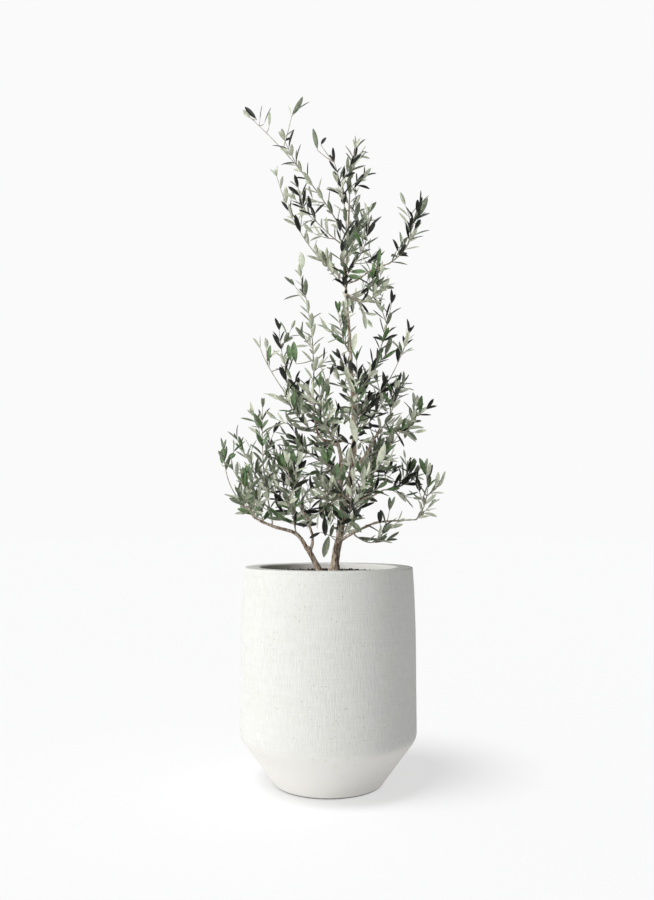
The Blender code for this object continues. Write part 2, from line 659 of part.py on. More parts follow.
class Growth:
    """One mass as it grows: its pieces, and where its leaves and twigs are."""

    def __init__(self, name, space, finish):
        self.name = name
        self.space = space
        self.finish = finish
        self.random = Random(SEED + list(MASSES).index(name))
        self.pieces = []
        self.taken = []

    def clear(self, points):
        if not self.taken:
            return True
        taken = np.array(self.taken)
        return all(distance(taken, point) > LEAF_CLEARANCE for point in points)

    def twig(self, line, foot_radius):
        last = len(line) - 1
        radii = [foot_radius + (TWIG_TIP_RADIUS - foot_radius) * index / last for index in range(last + 1)]
        self.pieces.append(add_object("twig", swept("twig", line, radii, TWIG_SIDES), self.finish))
        self.taken.extend(tuple(point) for point in dense(line, 4))

    def leaf(self, root, ahead, turn, angle):
        """Adds a leaf, or one turned a little to either side where the first has no room."""
        length = self.random.uniform(*LEAF_LENGTH)
        for turned_by in LEAF_TURNS:
            heading = branch_direction(ahead, turn + turned_by, angle)
            across = heading.cross(ahead).normalized()
            probes = [root + heading * length * share for share in LEAF_PROBES]
            edge = across * length * LEAF_EDGE_PROBE
            edges = [probes[0] - edge, probes[0] + edge]
            if self.space.free(self.name, probes + edges) and self.clear(probes):
                sunk = root - heading * LEAF_ROOT_DEPTH
                self.pieces.append(add_object("leaf", leaf_mesh(sunk, heading, across, length), self.finish))
                self.taken.extend(tuple(point) for point in probes)
                return

    def leaves_along(self, line, first):
        """Opposite pairs of leaves, each pair turned a quarter from the last, and one leaf at the tip."""
        length = sum((b - a).length for a, b in zip(line, line[1:]))
        pairs = max(int(length * (1 - first) / LEAF_SPACING), 1)
        quarter = self.random.uniform(0, pi)
        heading = directions(line)
        for pair in range(pairs):
            share = first + (LAST_LEAF - first) * pair / pairs
            root, index = line_at(line, share)
            for half_turn in (0, pi):
                wobble = self.random.uniform(-LEAF_WOBBLE, LEAF_WOBBLE)
                self.leaf(root, heading[index], quarter + half_turn + wobble, LEAF_ANGLE + wobble / 2)
            quarter += pi / 2
        sunk = line[-1] - heading[-1] * TIP_LEAF_DEPTH
        self.leaf(sunk, heading[-1], quarter, TIP_LEAF_ANGLE)

    def grow(self):
        mass = MASSES[self.name]
        stem = stem_line(self.name)
        self.twig(stem, STEM_RADIUS)
        fork = fork_line(self.name, stem)
        shoots = [fork] if fork else []
        heading = directions(stem)
        turn = self.random.uniform(0, 2 * pi)
        first, last = SHOOTS_BETWEEN
        longest, shortest = SHOOT_LENGTHS
        for number in range(mass["shoots"]):
            share = first + (last - first) * (number + 0.5) / mass["shoots"]
            start, index = line_at(stem, share)
            length = mass["spread"] * (longest + (shortest - longest) * share)
            length *= self.random.uniform(1 - SHOOT_VARIATION, 1 + SHOOT_VARIATION)
            outward = branch_direction(heading[index], turn, SHOOT_ANGLE)
            line = shoot_line(start, outward, length)
            turn += TURN_PER_SHOOT
            probes = line[1:]
            if self.space.free(self.name, probes) and self.clear(probes):
                shoots.append(line)
        for line in shoots:
            self.twig(line, TWIG_RADIUS)
        self.leaves_along(stem, STEM_FIRST_LEAF)
        for line in shoots:
            self.leaves_along(line, SHOOT_FIRST_LEAF)
        base = self.pieces[0]
        base.name = self.name
        apply_boolean(base, "UNION", self.pieces[1:], "EXACT")
        keep_largest(base)
        return base


def build_tree():
    for old in list(bpy.data.objects):
        bpy.data.objects.remove(old)
    build_planter(material("fibre_cement", FIBRE_CEMENT))
    build_soil(material("potting_soil", POTTING_SOIL))
    for name in LIMBS:
        build_limb(name, material(name + "_bark", BARK))
    space = Space()
    for name in MASSES:
        Growth(name, space, material(name + "_leaf", LEAF)).grow()


build_tree()
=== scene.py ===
# A young olive tree in a round fibre-cement planter: the looks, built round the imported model.
# Metres, +Z up, with the origin under the middle of the planter.
import random
from math import cos, pi, radians, sin

import bpy
import numpy as np
from mathutils import Matrix, Vector, noise
from mathutils.kdtree import KDTree


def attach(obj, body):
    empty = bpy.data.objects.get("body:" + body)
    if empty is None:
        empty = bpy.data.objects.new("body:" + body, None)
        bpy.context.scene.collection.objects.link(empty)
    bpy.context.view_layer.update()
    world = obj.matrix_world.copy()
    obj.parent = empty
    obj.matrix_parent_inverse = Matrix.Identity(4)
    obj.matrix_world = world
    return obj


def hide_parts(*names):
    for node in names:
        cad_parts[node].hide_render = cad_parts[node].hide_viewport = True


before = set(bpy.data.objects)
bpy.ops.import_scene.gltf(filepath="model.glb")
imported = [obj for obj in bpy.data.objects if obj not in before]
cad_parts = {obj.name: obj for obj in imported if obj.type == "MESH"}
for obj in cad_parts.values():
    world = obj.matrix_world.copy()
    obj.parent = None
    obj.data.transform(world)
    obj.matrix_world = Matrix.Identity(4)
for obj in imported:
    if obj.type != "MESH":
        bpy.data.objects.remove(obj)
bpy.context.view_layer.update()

print("frame loaded:", len(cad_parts), "nodes")

mm = 0.001


def deselectAll():
    if bpy.context.object and bpy.context.object.mode != "OBJECT":
        bpy.ops.object.mode_set(mode="OBJECT")
    bpy.ops.object.select_all(action="DESELECT")


def activate(piece):
    deselectAll()
    piece.select_set(True)
    bpy.context.view_layer.objects.active = piece


def applyModifier(piece, kind, **settings):
    activate(piece)
    modifier = piece.modifiers.new(kind.lower(), kind)
    for name, value in settings.items():
        setattr(modifier, name, value)
    bpy.ops.object.modifier_apply(modifier=modifier.name)


def roughen(piece, kind, scale, strength, group=""):  # pushes the surface in and out by a soft noise
    texture = bpy.data.textures.new("relief", kind)
    texture.noise_scale = scale
    applyModifier(piece, "DISPLACE", texture=texture, strength=strength, mid_level=0.5,
                  texture_coords="LOCAL", vertex_group=group)


def finishPiece(piece, materials, smoothAngle):
    piece.data.materials.clear()
    for material in materials:
        piece.data.materials.append(material)
    activate(piece)
    bpy.ops.object.shade_smooth_by_angle(angle=smoothAngle)
    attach(piece, "root")
    deselectAll()
    return piece


def linear(hexColour):  # sRGB hex to linear colour with alpha
    shares = [int(hexColour[place:place + 2], 16) / 255 for place in (1, 3, 5)]
    return [s / 12.92 if s <= 0.04045 else ((s + 0.055) / 1.055) ** 2.4 for s in shares] + [1.0]


def newMaterial(name, roughness, ior=1.5, **sockets):
    material = bpy.data.materials.new(name)
    material.use_nodes = True
    shader = material.node_tree.nodes["Principled BSDF"]
    shader.inputs["Roughness"].default_value = roughness
    shader.inputs["IOR"].default_value = ior
    for socket, value in sockets.items():
        shader.inputs[socket.replace("_", " ")].default_value = value
    return material


def addNode(material, kind, inputs=None, **settings):  # a value that is a socket is linked
    node = material.node_tree.nodes.new(kind)  # the world's nodes are made here too
    stops = settings.pop("stops", [])
    for name, value in settings.items():
        setattr(node, name, value)
    for place, (position, colour) in enumerate(stops):
        ramp = node.color_ramp.elements
        stop = ramp[place] if place < len(ramp) else ramp.new(position)
        stop.position = position
        stop.color = colour
    for socket, value in (inputs or {}).items():
        if isinstance(value, bpy.types.NodeSocket):
            material.node_tree.links.new(value, node.inputs[socket])
        else:
            node.inputs[socket].default_value = value
    return node


def plug(material, socket, value):  # links a socket of the material's shader
    shader = material.node_tree.nodes["Principled BSDF"]
    material.node_tree.links.new(value, shader.inputs[socket])


view = dict(
    place=(-0.0035, -1.8642, 0.5846), tilt=0.0904, lens=31.82, sensor=36,
    backdrop="#fafafa", ambient="#f0f1f1", ambientStrength=0.21, ambientSide=1.0, zenith=0.33,
    floorColour=0.35, floorGlow=0.572, floorReach=30, floorCorners=96, farthest=100,
)

# Where each light stands, how strong and how wide it is, and where they are given, the only pieces
# that it lights, the pieces that it misses and the only pieces that throw its shadows.
lamps = {
    "key_light": dict(
        place=(-0.79, -0.61, 0.30), strength=2.28, size=radians(26), colour="#fffefc",
        misses=["floor", "planter_shell"]),
    "planter_light": dict(  # the key again, for the planter without the crown's shadows
        place=(-0.785, -0.62, 0.30), strength=2.12, size=radians(28), colour="#fffefc",
        lights=["planter_shell"], shadedBy=["planter_shell"]),
    "top_light": dict(
        place=(-0.32, 0.02, 1.15), strength=1.55, size=radians(28), colour="#fdfdff",
        misses=["floor"]),
    "floor_light": dict(
        place=(-0.45, -0.27, 1.10), strength=2.6, size=radians(29), colour="#fdfdff",
        lights=["floor"], shadedBy=["planter_shell"]),
}


def makeCamera():
    deselectAll()
    bpy.ops.object.camera_add(location=view["place"], rotation=(pi / 2 + view["tilt"], 0, 0))
    camera = bpy.context.object
    camera.name = "camera"
    camera.data.lens = view["lens"]
    camera.data.sensor_width = view["sensor"]
    camera.data.clip_end = view["farthest"]
    bpy.context.scene.camera = camera


def makeLamp(name):
    lamp = lamps[name]
    deselectAll()
    bpy.ops.object.light_add(type="SUN", location=lamp["place"])
    light = bpy.context.object
    light.name = name
    light.rotation_euler = Vector(lamp["place"]).to_track_quat("Z", "Y").to_euler()
    light.data.energy = lamp["strength"]
    light.data.angle = lamp["size"]
    light.data.color = linear(lamp["colour"])[:3]


def flagLamp(name):  # once the pieces are there, says which of them it lights and which throw its shadows
    linking = bpy.data.objects[name].light_linking
    rules = [("lights", "INCLUDE", "receiver"), ("misses", "EXCLUDE", "receiver"),
             ("shadedBy", "INCLUDE", "blocker")]
    for rule, state, side in rules:
        if rule in lamps[name]:
            group = bpy.data.collections.new(name + "_" + rule)
            for piece in lamps[name][rule]:
                group.objects.link(bpy.data.objects[piece])
            for entry in group.collection_objects:
                entry.light_linking.link_state = state
            setattr(linking, side + "_collection", group)


def makeSurroundings():
    world = bpy.data.worlds.new("studio")
    bpy.context.scene.world = world
    world.use_nodes = True
    tree = world.node_tree
    strength, side = view["ambientStrength"], view["ambientSide"]
    place = addNode(world, "ShaderNodeTexCoord").outputs["Generated"]
    split = addNode(world, "ShaderNodeSeparateXYZ", {"Vector": place})
    fade = addNode(world, "ShaderNodeMapRange", {  # the studio is brighter on the side of the key light
        "Value": split.outputs["X"], "From Min": -1.0, "To Min": strength * (1 + side),
        "To Max": strength * (1 - side)})
    rise = addNode(world, "ShaderNodeMapRange", {  # and overhead
        "Value": split.outputs["Z"], "To Max": view["zenith"]})
    total = addNode(world, "ShaderNodeMath", {0: fade.outputs["Result"], 1: rise.outputs["Result"]})
    shade = tree.nodes["Background"]
    shade.inputs["Color"].default_value = linear(view["ambient"])
    tree.links.new(total.outputs["Value"], shade.inputs["Strength"])
    seen = addNode(world, "ShaderNodeBackground", {  # the even white that the camera sees past the floor
        "Color": linear(view["backdrop"])})
    path = addNode(world, "ShaderNodeLightPath")
    mix = addNode(world, "ShaderNodeMixShader", {
        "Fac": path.outputs["Is Camera Ray"], 1: shade.outputs["Background"],
        2: seen.outputs["Background"]})
    tree.links.new(mix.outputs["Shader"], tree.nodes["World Output"].inputs["Surface"])
    bpy.context.scene.view_settings.view_transform = "Standard"


def makeFloor():  # a white acrylic sheet lit from below, so that shadows on it stay faint
    deselectAll()
    bpy.ops.mesh.primitive_circle_add(
        vertices=view["floorCorners"], radius=view["floorReach"], fill_type="NGON")
    floor = bpy.context.object
    floor.name = "floor"
    sweep = bpy.data.materials.new("acrylic_sweep")
    sweep.use_nodes = True
    sweep.node_tree.nodes.remove(sweep.node_tree.nodes["Principled BSDF"])
    shade = view["floorColour"]
    sheet = addNode(sweep, "ShaderNodeBsdfDiffuse", {"Color": (shade, shade, shade, 1.0)})
    glow = addNode(sweep, "ShaderNodeEmission", {"Strength": view["floorGlow"]})
    both = addNode(sweep, "ShaderNodeAddShader", {0: sheet.outputs["BSDF"], 1: glow.outputs["Emission"]})
    output = sweep.node_tree.nodes["Material Output"]
    sweep.node_tree.links.new(both.outputs["Shader"], output.inputs["Surface"])
    floor.data.materials.append(sweep)


makeCamera()
for name in lamps:
    makeLamp(name)
makeSurroundings()
makeFloor()
print("camera, lights and floor made")


# The planter is a cone up to the shoulder, then a side that is near upright, and a thick lip.
planterForm = dict(
    radius=0.200, height=0.482, footRadius=0.122, shoulderHeight=0.105, sideTopHeight=0.300,
    rimRadius=0.1945, lipWidth=0.036, lipDepth=0.026, wall=0.014, floor=0.022,
    corners=176, ringHeight=0.009, footEdge=0.003, shoulderEdge=0.011, rimEdge=0.0035, edgeSteps=4,
    wave=0.09, waveDepth=0.0005, dents=0.016, dentDepth=0.00016,
)


def roundedCorner(before, corner, after, edge):  # the points of a corner eased by edge
    if not edge:
        return [corner]
    start = corner + (before - corner).normalized() * edge
    end = corner + (after - corner).normalized() * edge
    shares = [step / planterForm["edgeSteps"] for step in range(planterForm["edgeSteps"] + 1)]
    return [start.lerp(corner, share).lerp(corner.lerp(end, share), share) for share in shares]


def planterProfile():  # (radius, height) of each ring, from the foot up, over the lip and down inside
    form = planterForm
    inner = form["rimRadius"] - form["lipWidth"]
    under = form["height"] - form["lipDepth"]
    topRise = form["height"] - form["sideTopHeight"]
    corners = [
        (0.0, 0.0, 0), (form["footRadius"], 0.0, form["footEdge"]),
        (form["radius"], form["shoulderHeight"], form["shoulderEdge"]),
        (form["radius"], form["sideTopHeight"], 0)]
    for share in (0.25, 0.5, 0.75):  # the side draws in a little towards the rim
        inward = (form["radius"] - form["rimRadius"]) * share ** 2
        corners.append((form["radius"] - inward, form["sideTopHeight"] + topRise * share, 0))
    corners += [
        (form["rimRadius"], form["height"], form["rimEdge"]), (inner, form["height"], form["rimEdge"]),
        (inner, under, 0), (form["rimRadius"] - form["wall"], under - form["wall"], 0),
        (form["radius"] - form["wall"], form["shoulderHeight"], 0),
        (form["footRadius"] - form["wall"], form["floor"], 0), (0.0, form["floor"], 0)]
    points = [Vector(corner[:2]) for corner in corners]
    rings = []
    for before, corner, after, (_, _, edge) in zip(points, points[1:], points[2:], corners[1:]):
        for point in roundedCorner(before, corner, after, edge):
            last = rings[-1] if rings else point
            steps = max(round((point - last).length / form["ringHeight"]), 1)
            rings += [last.lerp(point, step / steps) for step in range(1, steps + 1)]
    return rings


def makePlanter():
    form = planterForm
    rings = planterProfile()
    deselectAll()
    bpy.ops.mesh.primitive_circle_add(vertices=form["corners"], radius=rings[0].x, fill_type="NGON")
    planter = bpy.context.object
    planter.name = "planter_shell"
    bpy.ops.object.mode_set(mode="EDIT")
    bpy.ops.mesh.select_mode(type="FACE")
    bpy.ops.mesh.select_all(action="SELECT")
    for ring, after in zip(rings, rings[1:]):
        bpy.ops.mesh.extrude_region_move(TRANSFORM_OT_translate={"value": (0, 0, after.y - ring.y)})
        grow = after.x / ring.x
        bpy.ops.transform.resize(value=(grow, grow, 1), center_override=(0, 0, after.y))
    bpy.ops.mesh.select_all(action="SELECT")
    bpy.ops.mesh.normals_make_consistent(inside=False)
    bpy.ops.object.mode_set(mode="OBJECT")
    raised = planter.vertex_groups.new(name="raised")  # the underside stays flat on the floor
    above = [vertex.index for vertex in planter.data.vertices if vertex.co.z > form["footEdge"]]
    raised.add(above, 1.0, "REPLACE")
    roughen(planter, "CLOUDS", form["wave"], form["waveDepth"], "raised")
    roughen(planter, "CLOUDS", form["dents"], form["dentDepth"], "raised")
    return planter


mixForm = dict(
    top=0.467, radius=0.1580, depth=0.030, corners=144, rings=34, lump=0.013, lumpHeight=0.0055,
    grain=0.0035, grainHeight=0.0018, crumbs=640, crumbSize=(0.0012, 0.0042), pearls=46, seed=5,
    ringSpare=1.2, margin=0.001, bareEdge=0.005, crumbRise=(0.0002, 0.0020), crumbUneven=(0.7, 1.25),
)


# Fibre cement: pressed in a lined mould and matt sealed, so the side has fine upright threads, short
# level scratches and pinholes, and the cone under the shoulder is smoother.
cementLook = dict(
    roughness=0.86, ior=1.45, body="#d2d3cf", pale="#dddedb", warm="#d9d6d0", cone="#dbd9d5",
    # inside is painted light: the mouth's inner wall is painted near white to stand in for light
    inside="#f2f1ee", pinhole="#b7b5b0", footShadow="#45423d",
    thread=(2.2, 20), scratch=(60, 3.0), scratchShare=0.28, streakDetail=3.0, streakRoughness=0.6,
    weaveTone=(0.38, 0.62), coneFade=(6, 8), patch=60, patchDetail=4.0, patchRoughness=0.55,
    patchTone=(0.45, 0.75), warmth=0.35, pinholeEvery=9.0, pinholeSize=(0.048, 0.12), pinholePatch=0.50,
    footRise=(2.2, 4.4), footShare=0.95, mouthFade=3, mouthDepth=40, relief=1.0, reliefDepth=1.5,
)


def fibreCement():
    look = cementLook
    material = newMaterial("fibre_cement", look["roughness"], ior=look["ior"])
    place = addNode(material, "ShaderNodeTexCoord").outputs["Object"]
    height = addNode(material, "ShaderNodeSeparateXYZ", {"Vector": place}).outputs["Z"]
    shoulder = planterForm["shoulderHeight"]
    below, over = look["coneFade"]
    side = addNode(material, "ShaderNodeMapRange", {  # 0 on the smooth cone, 1 on the threaded side
        "Value": height, "From Min": shoulder - below * mm,
        "From Max": shoulder + over * mm}).outputs["Result"]

    streaks = []
    for wide, tall in (look["thread"], look["scratch"]):  # noise drawn out upright, then level
        scale = (1 / (wide * mm), 1 / (wide * mm), 1 / (tall * mm))
        drawn = addNode(material, "ShaderNodeMapping", {"Vector": place, "Scale": scale})
        streaks.append(addNode(material, "ShaderNodeTexNoise", {
            "Vector": drawn.outputs["Vector"], "Scale": 1.0, "Detail": look["streakDetail"],
            "Roughness": look["streakRoughness"]}).outputs["Fac"])
    woven = addNode(material, "ShaderNodeMix", {
        "Factor": look["scratchShare"], 2: streaks[0], 3: streaks[1]}, data_type="FLOAT")
    weave = addNode(material, "ShaderNodeMix", {
        "Factor": side, 2: 0.5, 3: woven.outputs[0]}, data_type="FLOAT").outputs[0]
    low, high = look["weaveTone"]
    tone = addNode(material, "ShaderNodeMapRange", {"Value": weave, "From Min": low, "From Max": high})
    threaded = addNode(material, "ShaderNodeMix", {
        "Factor": tone.outputs["Result"], 6: linear(look["body"]), 7: linear(look["pale"])},
        data_type="RGBA")
    # the cone has its own smooth tone, painted a little paler and warmer as painted bounce light from the
    # floor
    bare = addNode(material, "ShaderNodeMix", {
        "Factor": side, 6: linear(look["cone"]), 7: threaded.outputs[2]}, data_type="RGBA")

    patches = addNode(material, "ShaderNodeTexNoise", {
        "Vector": place, "Scale": 1 / (look["patch"] * mm), "Detail": look["patchDetail"],
        "Roughness": look["patchRoughness"]}).outputs["Fac"]
    low, high = look["patchTone"]
    warmth = addNode(material, "ShaderNodeMapRange", {
        "Value": patches, "From Min": low, "From Max": high, "To Max": look["warmth"]})
    warmed = addNode(material, "ShaderNodeMix", {
        "Factor": warmth.outputs["Result"], 6: bare.outputs[2], 7: linear(look["warm"])},
        data_type="RGBA")

    holes = addNode(material, "ShaderNodeTexVoronoi", {
        "Vector": place, "Scale": 1 / (look["pinholeEvery"] * mm)})
    low, high = look["pinholeSize"]  # as shares of the spacing
    inHole = addNode(material, "ShaderNodeMapRange", {
        "Value": holes.outputs["Distance"], "From Min": low, "From Max": high, "To Min": 1.0, "To Max": 0.0})
    few = addNode(material, "ShaderNodeMath", {  # pinholes stand only in some of the patches
        0: patches, 1: look["pinholePatch"]}, operation="GREATER_THAN")
    holed = addNode(material, "ShaderNodeMath", {
        0: inHole.outputs["Result"], 1: few.outputs["Value"]}, operation="MULTIPLY").outputs["Value"]
    # the pinholes are real pits, shown by the bump; their darker colour is painted shade in them
    spotted = addNode(material, "ShaderNodeMix", {
        "Factor": holed, 6: warmed.outputs[2], 7: linear(look["pinhole"])}, data_type="RGBA")

    # painted shadow: the foot is painted dark up to a few millimetres above the floor, for the contact
    # shadow under it
    low, high = look["footRise"]
    foot = addNode(material, "ShaderNodeMapRange", {
        "Value": height, "From Min": low * mm, "From Max": high * mm, "To Min": look["footShare"],
        "To Max": 0.0})
    contactShaded = addNode(material, "ShaderNodeMix", {
        "Factor": foot.outputs["Result"], 6: spotted.outputs[2], 7: linear(look["footShadow"])},
        data_type="RGBA")

    within = addNode(material, "ShaderNodeVectorMath", {0: place, 1: (1, 1, 0)}, operation="MULTIPLY")
    radius = addNode(material, "ShaderNodeVectorMath", {0: within.outputs["Vector"]}, operation="LENGTH")
    inner = planterForm["rimRadius"] - planterForm["lipWidth"]
    paintedLightInside = addNode(material, "ShaderNodeMapRange", {  # painted light: the mouth's inner wall is painted paler than the body, in place of light its shade keeps off
        "Value": radius.outputs["Value"], "From Min": inner, "From Max": inner + look["mouthFade"] * mm,
        "To Min": 1.0, "To Max": 0.0})
    above = addNode(material, "ShaderNodeMath", {
        0: height, 1: mixForm["top"] - look["mouthDepth"] * mm}, operation="GREATER_THAN")
    mouth = addNode(material, "ShaderNodeMath", {
        0: paintedLightInside.outputs["Result"], 1: above.outputs["Value"]}, operation="MULTIPLY")
    finished = addNode(material, "ShaderNodeMix", {
        "Factor": mouth.outputs["Value"], 6: contactShaded.outputs[2], 7: linear(look["inside"])},
        data_type="RGBA")
    plug(material, "Base Color", finished.outputs[2])

    relief = addNode(material, "ShaderNodeMath", {0: weave, 1: holed}, operation="SUBTRACT")
    bump = addNode(material, "ShaderNodeBump", {
        "Strength": look["relief"], "Distance": look["reliefDepth"] * mm,
        "Height": relief.outputs["Value"]})
    plug(material, "Normal", bump.outputs["Normal"])
    return material


planter = makePlanter()
finishPiece(planter, [fibreCement()], radians(40))
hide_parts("planter")
print("planter made:", len(planter.data.polygons), "faces")


def makeMix():
    form = mixForm
    deselectAll()
    bpy.ops.mesh.primitive_cylinder_add(
        vertices=form["corners"], radius=form["radius"], depth=form["depth"],
        location=(0, 0, form["top"] - form["depth"] / 2))
    mix = bpy.context.object
    mix.name = "potting_mix_top"
    bpy.ops.object.transform_apply(location=True, rotation=False, scale=False)
    for face in mix.data.polygons:  # only the flat top
        face.select = face.normal.z > 0.9
    bpy.ops.object.mode_set(mode="EDIT")
    bpy.ops.mesh.select_mode(type="FACE")
    for ring in range(form["rings"]):
        bpy.ops.mesh.inset(thickness=form["radius"] / (form["rings"] + form["ringSpare"]), depth=0)
    bpy.ops.object.mode_set(mode="OBJECT")
    top = mix.vertex_groups.new(name="top")
    low, reach = form["top"] - form["margin"], form["radius"] - form["margin"]
    inside = [vertex.index for vertex in mix.data.vertices
              if vertex.co.z > low and vertex.co.xy.length < reach]
    top.add(inside, 1.0, "REPLACE")
    roughen(mix, "CLOUDS", form["lump"], form["lumpHeight"], "top")
    roughen(mix, "CLOUDS", form["grain"], form["grainHeight"], "top")
    return mix


# Dull and rough, in crumbs of two tones: peat is dark and paler where it is dry, perlite near white.
soilLook = dict(roughness=0.95, ior=1.4, speckDetail=5.0, speckRoughness=0.65, tones=(0.38, 0.68),
                relief=0.6, reliefDepth=0.6)


def soilMaterial(name, dark, light, grain):
    look = soilLook
    material = newMaterial(name, look["roughness"], ior=look["ior"])
    place = addNode(material, "ShaderNodeTexCoord").outputs["Object"]
    speck = addNode(material, "ShaderNodeTexNoise", {
        "Vector": place, "Scale": 1 / (grain * mm), "Detail": look["speckDetail"],
        "Roughness": look["speckRoughness"]}).outputs["Fac"]
    low, high = look["tones"]
    tone = addNode(material, "ShaderNodeValToRGB", {"Fac": speck}, stops=[
        (low, linear(dark)), (high, linear(light))])
    plug(material, "Base Color", tone.outputs["Color"])
    bump = addNode(material, "ShaderNodeBump", {
        "Strength": look["relief"], "Distance": look["reliefDepth"] * mm, "Height": speck})
    plug(material, "Normal", bump.outputs["Normal"])
    return material


def newBatch():  # small shapes are gathered in a batch, which is then made one mesh
    return dict(points=[], faces=[], finishes=[], count=0)


def addShape(batch, points, faces, finishes):
    start = batch["count"]
    batch["points"].append(points)
    batch["faces"].extend([tuple(start + corner for corner in face) for face in faces])
    batch["finishes"].extend(finishes)
    batch["count"] += len(points)


def makeBatch(name, batch):
    data = bpy.data.meshes.new(name)
    data.from_pydata(np.concatenate(batch["points"]).tolist(), [], batch["faces"])
    data.polygons.foreach_set("material_index", batch["finishes"])
    data.update()
    piece = bpy.data.objects.new(name, data)
    bpy.context.scene.collection.objects.link(piece)
    return piece


def headings(line):  # the direction of a line at each of its points
    pairs = zip([line[0]] + line[:-1], line[1:] + [line[-1]])
    return [(after - before).normalized() for before, after in pairs]


def tubeFaces(rings, sides):  # the near end, the walls from ring to ring, and the far end
    faces = [tuple(range(sides))[::-1]]
    for low in range(0, (rings - 1) * sides, sides):
        for corner in range(sides):
            after = (corner + 1) % sides
            faces.append((low + corner, low + after, low + sides + after, low + sides + corner))
    return faces + [tuple(range((rings - 1) * sides, rings * sides))]


def tube(line, radii, sides):
    ahead = headings(line)
    side = ahead[0].orthogonal().normalized()
    turns = np.arange(sides) * 2 * pi / sides
    points = []
    for centre, heading, radius in zip(line, ahead, radii):
        side = (side - heading * side.dot(heading)).normalized()
        ring = np.outer(np.cos(turns), side) + np.outer(np.sin(turns), heading.cross(side))
        points.append(np.array(centre) + radius * ring)
    return np.concatenate(points), tubeFaces(len(line), sides)


def smoothLine(points, steps):  # a smooth curve through the points
    points = [Vector(point) for point in points]
    ends = [2 * points[0] - points[1]] + points + [2 * points[-1] - points[-2]]
    line = []
    for before, start, end, after in zip(ends, ends[1:], ends[2:], ends[3:]):
        for step in range(steps):
            t = step / steps
            line.append(0.5 * (
                2 * start + (end - before) * t
                + (2 * before - 5 * start + 4 * end - after) * t ** 2
                + (3 * start - before - 3 * end + after) * t ** 3))
    return line + [points[-1]]


def bowedLine(start, end, bow, steps):  # a curve whose middle stands off the straight line by bow
    return [start.lerp(end, s / steps) + bow * 4 * (s / steps) * (1 - s / steps) for s in range(steps + 1)]


def lineAt(line, share):
    place = share * (len(line) - 1)
    index = min(int(place), len(line) - 2)
    return line[index].lerp(line[index + 1], place - index), index


def lineLength(line):
    return sum((b - a).length for a, b in zip(line, line[1:]))


crumbShape = dict(
    corners=[(0, 0, 1), (1, 0, 0), (0, 1, 0), (-1, 0, 0), (0, -1, 0), (0, 0, -1)],
    faces=[(0, 1, 2), (0, 2, 3), (0, 3, 4), (0, 4, 1), (5, 2, 1), (5, 3, 2), (5, 4, 3), (5, 1, 4)],
)


def makeCrumbs(name, count, squash, rng):  # bark crumbs or pearls of perlite, strewn over the mix
    form = mixForm
    batch = newBatch()
    corners = np.array(crumbShape["corners"], float)
    for number in range(count):
        size = rng.uniform(*form["crumbSize"])
        reach = (form["radius"] - form["bareEdge"]) * rng.random() ** 0.5
        turn = rng.uniform(0, 2 * pi)
        rolled = rng.uniform(0, 2 * pi)
        axis = Vector((rng.gauss(0, 1), rng.gauss(0, 1), 1))
        spin = np.array(Matrix.Rotation(rolled, 3, axis))
        uneven = np.array([[rng.uniform(*form["crumbUneven"])] * 3 for corner in corners])
        scale = np.array([1.0, rng.uniform(*squash), rng.uniform(*squash)]) * size
        shape = (corners * uneven * scale) @ spin.T
        rise = rng.uniform(*form["crumbRise"])
        centre = np.array([reach * cos(turn), reach * sin(turn), form["top"] + rise])
        addShape(batch, shape + centre, crumbShape["faces"], [0] * len(crumbShape["faces"]))
    return makeBatch(name, batch)


mixMaterial = soilMaterial("peat_mix", "#1d1712", "#4a3b2e", 2.5)
mix = makeMix()
finishPiece(mix, [mixMaterial], radians(60))
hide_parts("soil")
mixRandom = random.Random(mixForm["seed"])
crumbs = makeCrumbs("bark_crumbs", mixForm["crumbs"], (0.45, 0.9), mixRandom)
finishPiece(crumbs, [soilMaterial("bark_crumb", "#241e19", "#51463a", 1.8)], radians(30))
pearls = makeCrumbs("perlite_grains", mixForm["pearls"], (0.8, 1.0), mixRandom)
finishPiece(pearls, [soilMaterial("perlite", "#b9b6ad", "#e4e2da", 1.2)], radians(50))
print("potting mix made")


